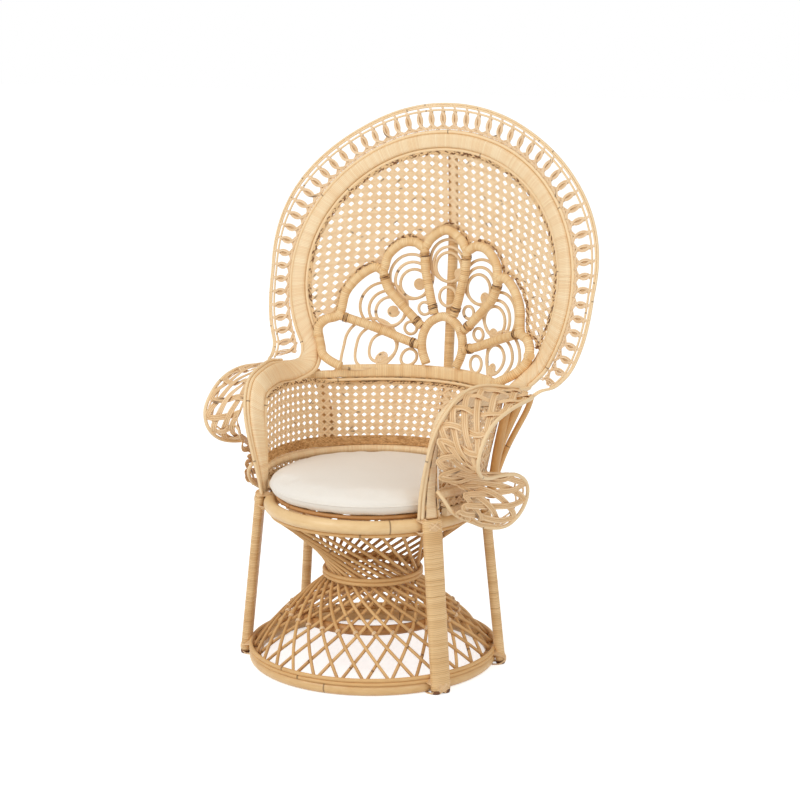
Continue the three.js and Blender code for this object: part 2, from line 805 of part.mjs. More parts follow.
// A closed loop of rod, whose middle line is an oval on the motif: its half length lies along the tilt
function ovalLoop(x, z, tilt, halfLength, halfWidth) {
  const at = (share) => {
    const along = halfLength * Math.cos(share * 2 * Math.PI);
    const across = halfWidth * Math.sin(share * 2 * Math.PI);
    const turnedX = along * Math.cos(tilt) - across * Math.sin(tilt);
    const turnedZ = along * Math.sin(tilt) + across * Math.cos(tilt);
    return onMotif(x + turnedX, z + turnedZ, scrollBehind);
  };
  const points = [];
  const index = [];
  for (let step = 0; step < loopSteps; step += 1) {
    const share = step / loopSteps;
    const tangent = at(share + shareStep).sub(at(share - shareStep)).normalize();
    const side = tangent.clone().cross(point(0, 1, 0)).normalize();
    const back = side.clone().cross(tangent);
    for (const corner of section(scrollRodRadius, thinRodSides)) {
      points.push(at(share).addScaledVector(side, corner.x).addScaledVector(back, corner.y));
    }
    for (let corner = 0; corner < thinRodSides; corner += 1) {
      const next = (corner + 1) % thinRodSides;
      const here = step * thinRodSides;
      const ahead = (step + 1) % loopSteps * thinRodSides;
      quad(index, here + corner, here + next, ahead + next, ahead + corner);
    }
  }
  return closedGeometry(points, index);
}

function eyeDisc(x, z) {
  const front = onMotif(x, z, scrollBehind - eyeThickness / 2);
  const rear = onMotif(x, z, scrollBehind + eyeThickness / 2);
  const disc = new THREE.CylinderGeometry(eyeRadius, eyeRadius, eyeThickness, discSides);
  const facing = rear.clone().sub(front).normalize();
  const turn = new THREE.Quaternion().setFromUnitVectors(point(0, 1, 0), facing);
  disc.applyQuaternion(turn);
  disc.translate(...front.lerp(rear, 0.5).toArray());
  return disc;
}

function petalScroll(number, direction) {
  const shares = scrollShares[number];
  const lean = THREE.MathUtils.degToRad(scrollTilts[number]);
  const tilt = direction > 0 ? lean : Math.PI - lean;
  const along = (distance) => {
    return [distance * Math.cos(tilt), barTop + scrollFootRise + distance * Math.sin(tilt)];
  };
  const near = shares.near * motifRise;
  const far = shares.far * motifRise;
  const ringRadius = shares.ring * motifRise - scrollRodRadius;
  const knobRadius = shares.knob * motifRise - scrollRodRadius;
  const ringCentre = along(near + ringRadius);
  const eyeTurn = tilt - eyeAngle;
  const eyeReach = ringRadius - eyeRadius + scrollRodRadius;
  return join([
    ovalLoop(...ringCentre, tilt, ringRadius, ringRadius),
    ovalLoop(...along((near + far) / 2), tilt, (far - near) / 2, ringRadius * loopWidthShare),
    ovalLoop(...along(near - knobRadius), tilt, knobRadius, knobRadius),
    eyeDisc(ringCentre[0] + eyeReach * Math.cos(eyeTurn), ringCentre[1] + eyeReach * Math.sin(eyeTurn)),
  ]);
}

function addScrolls() {
  for (const [side, direction] of [['right', 1], ['left', -1]]) {
    for (let number = 0; number < scrollNames.length - 1; number += 1) {
      place(`${side}_${scrollNames[number]}_scroll`, petalScroll(number, direction), honey);
    }
  }
  place('centre_scroll', petalScroll(scrollNames.length - 1, 1), honey);
}

// Cane panels

function addUpperPanel() {
  const half = petalShares.map((each) => motifPlace(each, panelLap));
  const flat = (each, side) => point(side * each[0], 0, each[1]);
  const left = half.map((each) => flat(each, -1)).reverse();
  const inner = smooth([...left, ...half.slice(1).map((each) => flat(each, 1))]);
  const outward = -bandWidth - gap - 2 * beadRadius - beadClearance;
  const margin = 1 / hoopSteps;
  const panel = (u, v) => {
    const angle = hoopAngle(hoopEndAngle, 1 - margin - u * (1 - 2 * margin));
    const near = inner.getPoint(u);
    const far = point(hoopAcross(angle, outward), 0, hoopHeight(angle, outward));
    const forward = frameForward * (near.x / motifHalfWidth) ** 2;
    const frameLayer = framePoleRadius + gap + caneThickness / 2 - forward;
    const here = near.lerp(far, v);
    return onBack(here.x, here.z, frameLayer * (1 - v));
  };
  place('back_panel', openworkSheet(panel, ...upperOpenings, caneThickness), cane);
}

const lowerTopShares = [
  [0.793, -0.558, 0.785], [0.833, -0.292, 0.806], [0.87, 0, 0.82], [0.897, 0.519, 0.803],
  [0.887, 0.8, 0.795],
];
const lowerBarShares = [0.9, 0.55, 0.28];

function addLowerPanel() {
  const onRail = (share, height) => {
    return aroundAxis(railRingRadius, railEndAngle + share * (Math.PI - 2 * railEndAngle), height);
  };
  const rail = new SteadyCurve((share) => onRail(share, railHeight));
  place('lower_panel_rail', rod(rail, railRadius, railSteps, slimPoleSides), peel);
  const top = beadUnderBar - barBeadRadius - gap;
  const underBar = lowerBarShares.map((each) => onBar(each * barHalfWidth, top));
  const half = [...lowerTopShares.map(onArm), ...underBar];
  const upper = smooth([...half, onBar(0, top), ...mirrored(half).reverse()]);
  const panelFoot = railHeight + railRadius + gap;
  const panel = (u, v) => onRail(u, panelFoot).lerp(upper.getPoint(u), v);
  place('lower_panel', openworkSheet(panel, ...lowerOpenings, caneThickness), cane);
}

// Posts behind the panels

const braceShares = [
  [[0.818, 0.917, -0.043], [0.85, 1.006, 0.368], [0.9, 1.136, 0.732], [0.947, 1.117, 0.843]],
  [[0.774, 1.043, -0.043], [0.817, 1.164, 0.357], [0.95, 1.253, 0.725], [1, 1.234, 0.843]],
  [[0.73, 1.116, -0.043], [0.79, 1.29, 0.343], [1.01, 1.338, 0.718], [1.06, 1.331, 0.832]],
];
const braceNames = ['fore', 'mid', 'aft'];

function addPosts() {
  for (const side of ['right', 'left']) {
    braceShares.forEach((shares, number) => {
      const radius = number < 2 ? braceRadius : thinBraceRadius;
      const path = smooth(toSide(shares.map(onArm), side));
      const brace = rod(path, radius, braceSteps, slimPoleSides);
      place(`${side}_brace_${braceNames[number]}`, brace, honey);
    });
  }
  const atRail = railRingRadius + railRadius + 2 * gap + postRadius;
  const atBar = onBar(0, barTop).y + barThickness / 2 + 2 * gap + postRadius;
  const behindScrolls = scrollBehind + scrollRodRadius + gap + postRadius;
  const behindBand = bandThickness / 2 + gap + postRadius;
  const path = [
    point(0, atRail, postBottom),
    point(0, atRail, railHeight + railRadius),
    point(0, (atRail + atBar) / 2, (railHeight + barBottom) / 2),
    point(0, atBar, barBottom),
    point(0, atBar, barTop),
    onMotif(0, barTop + motifRise * postLeanShare, behindScrolls),
    onMotif(0, barTop + motifRise, behindScrolls),
    onBack(0, hoopHeight(Math.PI / 2, -bandWidth), behindBand),
    onBack(0, hoopHeight(Math.PI / 2, 0), behindBand),
  ];
  place('centre_post', rod(smooth(path), postRadius, postSteps, slimPoleSides), honey);
}

addPedestal();
addSeat();
addCushion();
addLegs();
addHoop();
addArms();
addBar();
addPetalFrame();
addScrolls();
addUpperPanel();
addLowerPanel();
addPosts();

const bounds = new THREE.Box3().setFromObject(chair);
chair.position.set(-(bounds.min.x + bounds.max.x) / 2, -(bounds.min.y + bounds.max.y) / 2, -bounds.min.z);

export default chair;
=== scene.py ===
import math

import bpy
import numpy as np
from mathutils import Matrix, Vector


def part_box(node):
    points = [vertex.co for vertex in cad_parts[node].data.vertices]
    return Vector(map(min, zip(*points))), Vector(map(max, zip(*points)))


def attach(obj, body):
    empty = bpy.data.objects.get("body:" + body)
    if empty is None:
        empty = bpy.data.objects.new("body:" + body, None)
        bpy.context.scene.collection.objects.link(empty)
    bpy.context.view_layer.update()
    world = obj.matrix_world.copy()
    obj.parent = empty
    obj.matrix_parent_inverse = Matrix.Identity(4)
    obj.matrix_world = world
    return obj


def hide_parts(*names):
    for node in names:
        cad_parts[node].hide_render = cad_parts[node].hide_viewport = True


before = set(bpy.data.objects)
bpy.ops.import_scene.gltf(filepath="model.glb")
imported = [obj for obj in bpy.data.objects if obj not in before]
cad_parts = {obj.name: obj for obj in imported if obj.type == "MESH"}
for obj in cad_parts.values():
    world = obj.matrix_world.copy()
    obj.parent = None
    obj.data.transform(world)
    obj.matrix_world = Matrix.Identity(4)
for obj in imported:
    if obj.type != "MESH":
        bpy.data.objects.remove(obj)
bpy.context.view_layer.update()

# Peacock chair. Lengths are millimetres around the middle of the base ring, and finish in metres.
MM = 0.001
ring_low, ring_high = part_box("base_ring")
CHAIR_MIDDLE_Y = (ring_low[1] + ring_high[1]) / 2
rng = np.random.default_rng(7)
UP = np.array([0.0, 0.0, 1.0])
FORWARD = np.array([0.0, -1.0, 0.0])
BACKWARD = -FORWARD
LEVEL = np.array([1, 1, 0])
SIDES = (("right", 1), ("left", -1))
TINY = 1e-9

# Sides of round solids, and their tints from 0, the palest, to 1
LINE_SIDES = 6
ROD_SIDES = 8
BEAD_SIDES = 10
RING_SIDES = 12
POLE_SIDES = 14
POST_SIDES = 16
LEG_SIDES = 28
BASE_POLE_SIDES = 20
SEAT_POLE_SIDES = 24
BEAD_TINT = 0.15
ROD_TINT = 0.2
RIM_TINT = 0.3
SECOND_BEAD_TINT = 0.35
RAIL_TINT = 0.4
BAR_TINT = 0.5
POST_TINT = 0.7

# A split strand's outline by half its width and half its thickness: flat behind and crowned in front
STRAND_SHARES = [(1, -0.4), (0.7, 0.7), (0, 1), (-0.7, 0.7), (-1, -0.4), (-0.6, -1), (0.6, -1)]

# Base ring, bell and waist
BASE_RING_RADIUS = 286
BASE_POLE_RADIUS = 14
BELL_ROD_RADIUS = 4
BELL_RODS = 30
BELL_OUTER_LAYER = 3
BELL_INNER_LAYER = -5.5
BELL_FOOT_HEIGHT = 29
BELL_TOP_HEIGHT = 208
BELL_TOP_RADIUS = 100
BELL_BULGE = 14
BELL_TWIST = math.radians(60)
FOOT_ROD_RADIUS = 4.7
FOOT_ROD_RING = 296
FOOT_ROD_LOW = 29.8
FOOT_ROD_HIGH = 39
STRETCHER_HEIGHT = 120
STRETCHER_RADIUS = 12
STRETCHER_GAP = 1
WAIST_HEIGHT = 218
WAIST_RING_RADIUS = 117
WAIST_ROD_RADIUS = 4.8
WAIST_PASS_RADIUS = 107.2
CONE_TOP_RADIUS = 243
CONE_TOP_HEIGHT = 365.4
UNDER_BEAD_RADIUS = 4.7
TIE_RADIUS = 1.1
TIE_TURNS = 3
TIE_PITCH = 2.3
TIE_REACH = 5.6
TURN_STATIONS = 12
RING_STATIONS = 160
BELL_STATIONS = 28
CONE_STATIONS = 16
SPUN_SPACING = 7
SPUN_SOFTENING = 3
BELL_SLOPE_STEP = 1

# Seat
SEAT_RING_RADIUS = 245
SEAT_POLE_RADIUS = 15.8
SEAT_RING_HEIGHT = 386
BEARER_RADIUS = 9
BEARER_SPACING = 210
SEAT_INSIDE = 228.4
SLAT_COUNT = 5
SLAT_PITCH = 84
SLAT_WIDTH = 62
SLAT_STRANDS = 9
SLAT_HEIGHT = 396.6
SLAT_STRAND_WIDTH = 6.6
SLAT_STRAND_THICKNESS = 4
SLAT_STATIONS = 16
BEARER_STATIONS = 24
DECK_ROD_RADIUS = 5
DECK_RING_RADIUS = 226
DECK_RING_HEIGHT = 404.4

# Cushion
CUSHION_RADIUS = 251
CUSHION_BOTTOM = 410.5
CUSHION_THICKNESS = 51
CUSHION_VOXEL = 6
CUSHION_PRESSURE = 4
CUSHION_FRAMES = 20
CUSHION_SWELL = 6
CUSHION_SECTION_SHARES = [
    (0, 0), (0.9, 0), (0.96, 0.1), (0.99, 0.28), (1, 0.46), (0.988, 0.66), (0.945, 0.83), (0.84, 0.95),
    (0.55, 0.995), (0, 1),
]
CUSHION_SIDES = 96
CUSHION_ROWS = 40
PIPING_RADIUS = 1.6
PIPING_BAND = 2
PIPING_STATIONS = 240

# Legs
LEG_RADIUS = 12
LEG_TOP = 403
LEG_LOW_REACH = 312.5
LEG_HIGH_REACH = 273.3
LEG_APART = 12.15
FRONT_LEG_ANGLE = math.radians(-26.5)
REAR_LEG_ANGLE = math.radians(22)
LEG_TIP = 9
LEG_STATIONS = 60
PAIR_SQUARENESS = 3
SINGLE_SQUARENESS = 2
TIP_GAP = 0.4
TIP_SHARE = 0.96
TIP_GROW_SHARES = [0.86, 0.96, 1, 1]
LASH_TURNS = [-1.5, -0.5, 0.5, 1.5]
LASH_STATIONS = 40
LASH_REACH = 1.6
LASH_SIDE_REACH = 1.5
LASH_END_REACH = 2
LASH_PITCH = 3.4
LASH_WIDTH = 3.2
LASH_THICKNESS = 1.4
LASH_LOWEST = 1

# Back surface
BAR_BOTTOM = 632
BAR_TOP = 665
BAR_THICKNESS = 12
BAR_HALF_WIDTH = 252
BAR_BEAD_RADIUS = 4
BAR_REACH = 294
BAR_STEP_PLACE = 228
BAR_STEP_LENGTH = 8
BAR_STEP = 13
BAR_STATIONS = 140
BAR_SIDES = 20
BAR_SQUARENESS = 3.5
BAR_SWELL = 2
BAR_BEAD_GAP = 0.3
BAR_BEAD_FORWARD = 5
# Each painted shade line by the bar's rod: how far below the bar's bottom and in front of it, and its radius
BAR_SHADE_LINES = [(0, 6, 1.2), (9, 3, 1.6)]
BAR_BEHIND = 13.5
BAR_DEPTH_HEIGHT = 660
BACK_AT_BAR = 314
BACK_BOW = 28
DISH_REACH = 330
DISH_DEPTH = 115
DISH_HEIGHT = 700
DISH_TAPER = 0.155
DISH_FLATTENING = 0.13
DISH_FLAT_POWER = 5
FOLD_DEPTH = 84
FOLD_HEIGHT = 60
FOLD_TOP = 720
FOLD_REACH = 273
TOTAL_HEIGHT = 1320
SLOPE_STEP = 0.5

# Hoop and lace
HOOP_CENTRE = 890
BAND_HALF_WIDTH = 399
BAND_RISE = 355
BAND_DROP = 380
BAND_WIDTH = 33
BAND_THICKNESS = 18
HOOP_END = math.radians(-30)
HOOP_CORNER = math.radians(-34)
END_SPAN = 0.12
LACE_END = math.radians(-20.05)
LACE_FOOT_END = math.radians(-30)
LACE_END_HEIGHT = 684
LACE_TUCK = 0.45
LACE_TUCK_POWER = 4
LACE_TUCK_OFFSET = 11.8
HOOP_NARROWING = 0.05
LACE_SHOULDER = 18
LACE_SHOULDER_START = 10
LACE_RISE_SHARE = 1.146
LACE_FLARE_SHARE = 3.6
BAND_SOFTENING = 2
BAND_SPACING = 6.5
BAND_OVERLAP = 1
BAND_SIDES = 24
BAND_SQUARENESS = 4.5
BAND_PARTS = ("hoop", "left_arm", "right_arm")
ARM_STATIONS = 90
HOOP_STATIONS = 300
HOOP_TRIM = 2
BEAD_RADIUS = 4.9
BEAD_OFFSET = 5
OUTER_BEAD_FORWARD = 2
INNER_BEAD_FORWARD = 1.5
SECOND_BEAD_RADIUS = 3.6
SECOND_BEAD_OFFSET = 13.2
SECOND_BEAD_SHARE = 0.33
# Painted shade lines in the creases where the beads meet the band: how far forward, and their radii
EDGE_LINE_FORWARD = 7.4
OUTER_LINE_RADIUS = 1
INNER_LINE_RADIUS = 1.2
RIM_ROD_RADIUS = 2.7
RIM_ROD_OFFSETS = [63.6, 59]
SLIT_ROD_RADIUS = 2.6
SLIT_ROD_OFFSET = 50.6
LACE_LOOP_SPACING = 33.4
LACE_LOOP_OFFSET = 30
LACE_LOW_OFFSET = 10.5
LACE_HIGH_OFFSET = 48
LACE_STRAND_WIDTH = 3.6
LACE_STRAND_THICKNESS = 2
LACE_STRAND_PITCH = 3.2
LACE_LIFT = 1.7
LACE_FOOT_OFFSET = 12.5
LACE_FOOT_WIDTH = 6
LACE_LOOP_SHARES = [
    (-0.5, -0.02), (-0.36, 0.08), (-0.15, 0.18), (0.02, 0.29), (0.14, 0.43), (0.18, 0.62), (0.14, 0.81),
    (0.03, 0.95), (-0.06, 1.03),
]
LACE_END_TURN = [(392, 112, 678), (376, 106, 664)]
RIM_END_STEP = (3, 0, -2)
RIM_ROD_SPACING = 8
RIM_ROD_SOFTENING = 2
LACE_STATIONS = 300
LACE_FOOT_STATIONS = 400
LACE_RUN_STATIONS = 900
LOOP_STATIONS = 16
FILLING_STATIONS = 6
FILLING_STRANDS = 3
FILLING_LAYER = -2.6
SLIT_TIE_STATIONS = 5
SLIT_TIE_LEAN_SHARE = 0.14
SLIT_TIE_START = 46.6
SLIT_TIE_END = 64.6
SLIT_TIE_BEHIND = -1.8
SLIT_TIE_APART = 1.7
SLIT_TIE_WIDTH = 3
SLIT_TIE_THICKNESS = 1.6

# Motif
MOTIF_HALF_WIDTH = 322
MOTIF_RISE = 343
FRAME_RADIUS = 11.5
FRAME_FORWARD = 22
STUB_HEIGHT = 735
STUB_REACH = (306, 324)
STUB_RADIUS = 10
SCROLL_RADIUS = 4
SCROLL_BEHIND = 15
SCROLL_CENTRE = 670
EYE_RADIUS = 17
EYE_TURNS = 4
EYE_ROD_RADIUS = 2.2
EYE_START = 0.4
EYE_TURN_STATIONS = 24
EYE_FORWARD = 1
SCROLL_STEP = 0.8
CIRCLE_STATIONS = 56
SMALL_CIRCLE_STATIONS = 40
MOTIF_SPACING = 6
MOTIF_FINENESS = 12
STUB_STATIONS = 5
LASHING_REACH = 0.6
LASHING_TURNS = 3
LASHING_PITCH = 4.2
LASHING_RADIUS = 1.5
LASHING_STEPS = [(0, 3), (-1, -4)]
PETAL_SHARES = [
    (0, 1), (0.137, 0.933), (0.193, 0.866), (0.273, 0.898), (0.373, 0.889), (0.488, 0.796), (0.528, 0.682),
    (0.581, 0.703), (0.693, 0.644), (0.798, 0.516), (0.839, 0.344), (0.932, 0.306),
]
PETAL_TAIL_SHARES = [
    (0.975, 0.25), (0.96, 0.165), (0.925, 0.09), (0.86, 0.035), (0.79, 0.005), (0.71, -0.015),
]
SPOKE_SHARES = [
    [(0.193, 0.866), (0.18, 0.714), (0.152, 0.603), (0.124, 0.496), (0.087, 0.385)],
    [(0.528, 0.682), (0.481, 0.554), (0.391, 0.461), (0.289, 0.37), (0.193, 0.289)],
    [(0.839, 0.344), (0.668, 0.294), (0.503, 0.242), (0.342, 0.187), (0.205, 0.149)],
]
ARCH_SHARES = [(0, 0.373), (0.124, 0.321), (0.18, 0.224), (0.18, 0.117), (0.137, 0.018)]

# Each petal's scroll: tilt, how far its rings start, and how far the circle and the two arcs reach from
# the scrolls' centre, then the small ring's place and radius, and the eye's place on the right and left
SCROLLS = {
    "outer": (13, 130, (202, 234, 263), (95, 686, 23), (158, 684), (-158, 684)),
    "middle": (40, 156, (236, 255, 280), (97, 757, 19.5), (149, 765), (-143, 797)),
    "inner": (65, 178, (259, 278, 298), (63, 808, 19.5), (114, 849), (-79, 869)),
    "centre": (90, 205, (286, 300, 318), (0, 842, 28), (32, 901), (32, 901)),
}

# Cane panels
CANE_PITCH_X = 24
CANE_PITCH_Z = 19.5
CANE_THICKNESS = 1.2
CANE_TOP_X = -110
CANE_ROW_BEND = 0.0005
LEVEL_STRAND_WIDTH = 3.4
LEVEL_STRAND_OFFSET = 1.7
SLANT_STRAND_WIDTH = 3.1
SLANT_STRAND_OFFSET = 1.45
UPRIGHT_STRAND_WIDTH = 5.2
UPRIGHT_STRAND_LAYER = -0.8
CANE_LIFT = 1.2
PANEL_LAP = 6
PANEL_LAYER = 13.8
PANEL_HOOP_OFFSET = -43.8
PANEL_STATIONS = 400
PANEL_OVERLAP = 3
UPPER_HALF_COLUMNS = 15
EDGING_END = math.radians(-24)
EDGING_STATIONS = 360
EDGING_SPACING = 6
HOOP_EDGING_OFFSET = -45.8
HOOP_EDGING_LIFT = 1.5
MOTIF_EDGING_OFFSET = 9
MOTIF_EDGING_LIFT = 2
LOWER_ROWS = 12
LOWER_COLUMNS = 51
LOWER_PITCH = 17
LOWER_STEP = 0.25
LOWER_SLANT_SPREAD = 1.1
LOWER_STATIONS = 300
RAIL_STATIONS = 140
RAIL_RADIUS = 10
RAIL_HEIGHT = 412
RAIL_RING_RADIUS = 263
RAIL_END = math.radians(-17.5)
HIGH_RAIL_HEIGHT = 457
HIGH_RAIL_RING = 266
HIGH_RAIL_END = math.radians(-22.5)
LOWER_END = math.radians(-19.5)
LOWER_FOOT = 423
LOWER_TOP = 623.4
LOWER_TOP_SHARES = [
    (0.793, -0.65, 0.79), (0.833, -0.33, 0.83), (0.87, 0, 0.842), (0.897, 0.519, 0.826), (0.887, 0.8, 0.815),
]
LOWER_BAR_SHARES = [0.9, 0.55, 0.28]
LOWER_BRAID_ROWS = [0.3, 0.8, 11.75]
LOWER_BRAID_LAYER = 1.5
BORDER_BRAID_ROWS = [2.8, 3.25, 3.7]
BORDER_BRAID_LAYER = 2
LOWER_BORDER_ROW = 3.25
LOWER_BORDER_WIDTH = 24
LOWER_BORDER_LAYER = 1
BRAID_WIDTH = 9
BRAID_PITCH = 26
BRAID_STRAND = 3.6
BRAID_STRANDS = 3
BRAID_THICKNESS = 1.6
BRAID_LIFT = 0.9
BRAID_SPACING = 3
BRAID_NORMAL_REACH = 50

# Arms and shells
ARM_HALF_WIDTH = 300
ARM_REACH = 154
ARM_BASE_HEIGHT = 412
ARM_RISE = 280
ARM_BEAD_REACH = 6.9
ARM_START_SHARE = 0.02
ARM_OUTER_SHARES = [
    (1.11, 1, 0.935), (1.078, 0.52, 0.955), (0.99, 0.02, 0.99), (0.953, -0.29, 0.976), (0.925, -0.63, 0.911),
    (0.885, -0.84, 0.77), (0.851, -0.922, 0.6), (0.811, -0.93, 0.386), (0.777, -0.9, 0.171),
    (0.763, -0.86, -0.024),
]
ARM_INNER_SHARES = [
    (0.933, 1.026, 0.896), (0.937, 0.52, 0.832), (0.907, 0, 0.85), (0.873, -0.26, 0.843),
    (0.823, -0.6, 0.807), (0.81, -0.69, 0.7), (0.803, -0.71, 0.564), (0.797, -0.7, 0.371),
    (0.795, -0.69, 0.171), (0.815, -0.68, -0.024),
]
SHELL_SEAT_SHARES = [0.15, 0.22, 0.3, 0.4, 0.5, 0.6]
SHELL_INNER_SHARES = [
    (0.943, -1.006, 0.636), (0.933, -0.987, 0.457), (0.937, -0.91, 0.332), (0.96, -0.65, 0.279),
    (1.01, -0.584, 0.236), (1.04, -0.584, 0.154), (1.027, -0.617, 0.064), (0.993, -0.68, 0.03),
]
SHELL_RIM_SHARES = [
    (1.275, 0.55, 0.925), (1.327, 0.23, 0.932), (1.32, -0.27, 0.9), (1.292, -0.69, 0.807),
    (1.28, -0.943, 0.657), (1.256, -0.969, 0.529), (1.226, -0.839, 0.421), (1.206, -0.57, 0.354),
    (1.18, -0.14, 0.314), (1.22, 0.25, 0.286), (1.24, 0.5, 0.193), (1.23, 0.571, 0.071),
    (1.2, 0.468, -0.061), (1.14, 0.26, -0.157), (1.06, -0.032, -0.146), (1.0, -0.26, -0.086),
]
RIM_TAIL_SHARES = [(0.97, -0.52, -0.02), (0.95, -0.7, 0.05), (0.93, -0.8, 0.14), (0.87, -0.83, 0.22)]
RIM_RADIUS = 4.5
RIM_CLEARANCE = 2.4
SHELL_GAP = 8.3
SHELL_PERIOD_SHARE = 0.3
SHELL_WAVES = 4
SHELL_STRAIGHTNESS = 0.55
SHELL_RUNNER_SHARES = [0.88, 0.94]
SHELL_STRANDS = 3
SHELL_STRAND_WIDTH = 5.2
SHELL_STRAND_PITCH = 4.8
SHELL_STRAND_THICKNESS = 2.2
SHELL_LIFT = 3
SHARE_STEP = 1e-3
SHELL_STATIONS = 420
RUNNER_SWAY_SHARE = 0.035
RIM_STATIONS = 80
RIM_TAIL_STATIONS = 20
RIM_SPACING = 8
RIM_SOFTENING = 3

# Posts
POST_RADIUS = 12.5
BRACE_RADII = [11, 11, 7]
BRACE_NAMES = ["fore", "mid", "aft"]
BRACE_SHARES = [
    [(0.818, 0.917, -0.043), (0.85, 1.006, 0.368), (0.9, 1.136, 0.732), (0.947, 1.117, 0.843)],
    [(0.774, 1.043, -0.043), (0.817, 1.164, 0.357), (0.95, 1.253, 0.725), (1, 1.234, 0.843)],
    [(0.745, 1.13, -0.043), (0.845, 1.3, 0.343), (1.02, 1.35, 0.718), (1.06, 1.34, 0.832)],
]
POST_FOOT_Y = 286.1
POST_BOTTOM = 372
POST_LEAN_SHARE = 0.12
POST_BEHIND_SCROLLS = 31.3
POST_BEHIND_BAND = 21.8
POST_GAP = 0.6
POST_STATIONS = 120
POST_SPACING = 8
BRACE_STATIONS = 36

# Camera, lights and floor, in metres and degrees
EYE = (2.5043, -3.7481, 1.5235)
LOOK_AZIMUTH = math.radians(32.913)
LOOK_DOWN = math.radians(11.16)
LENS = 87.07
SENSOR = 36
LAMP_AIM = (0, 0, 0.7)
LAMP_SIZE = 3.0
# Name, place in metres and power of each lamp
LAMPS = [("key", (-1.2, -3.6, 3.4), 75), ("fill", (3.6, -1.2, 2.4), 26)]
WORLD_STRENGTH = 0.62
FLOOR_GLOW = 0.62
FLOOR_ROUGHNESS = 0.9
FLOOR_REACH = 30
FLOOR_NOISE_SCALE = 3.0
FLOOR_LIGHT = (238, 238, 238)
FLOOR_DARK = (234, 234, 234)


def linear(red, green, blue):
    """A screen colour, 0 to 255, as the light that it stands for."""
    shares = [value / 255 for value in (red, green, blue)]
    levels = [s / 12.92 if s <= 0.04045 else ((s + 0.055) / 1.055) ** 2.4 for s in shares]
    return (*levels, 1.0)


def placed(name, data):
    """A new object in the scene."""
    thing = bpy.data.objects.new(name, data)
    bpy.context.scene.collection.objects.link(thing)
    return thing


# Swept solids


def unit(vectors):
    vectors = np.asarray(vectors, float)
    return vectors / np.maximum(np.linalg.norm(vectors, axis=-1, keepdims=True), TINY)


def tangents(path, closed=False):
    if closed:
        return unit(np.roll(path, -1, axis=0) - np.roll(path, 1, axis=0))
    return unit(np.gradient(path, axis=0))


def round_outline(radius, sides):
    angles = (np.arange(sides) + 0.5) / sides * 2 * math.pi
    return np.stack([radius * np.cos(angles), radius * np.sin(angles)], axis=1)


def turns_of(count):
    """Angles at even steps round a circle."""
    return np.arange(count) / count * 2 * math.pi


def matched(*values):
    """The values as arrays of one shape."""
    return np.broadcast_arrays(*(np.asarray(value, float) for value in values))


def strand_outline(width, thickness):
    return np.array(STRAND_SHARES) * np.array([width / 2, thickness / 2])


def slab_outline(width, thickness, sides, power):
    """A rounded slab."""
    angles = (np.arange(sides) + 0.5) / sides * 2 * math.pi
    cosines = np.cos(angles)
    sines = np.sin(angles)
    reach = (np.abs(cosines) ** power + np.abs(sines) ** power) ** (-1 / power)
    return np.stack([width / 2 * reach * cosines, thickness / 2 * reach * sines], axis=1)


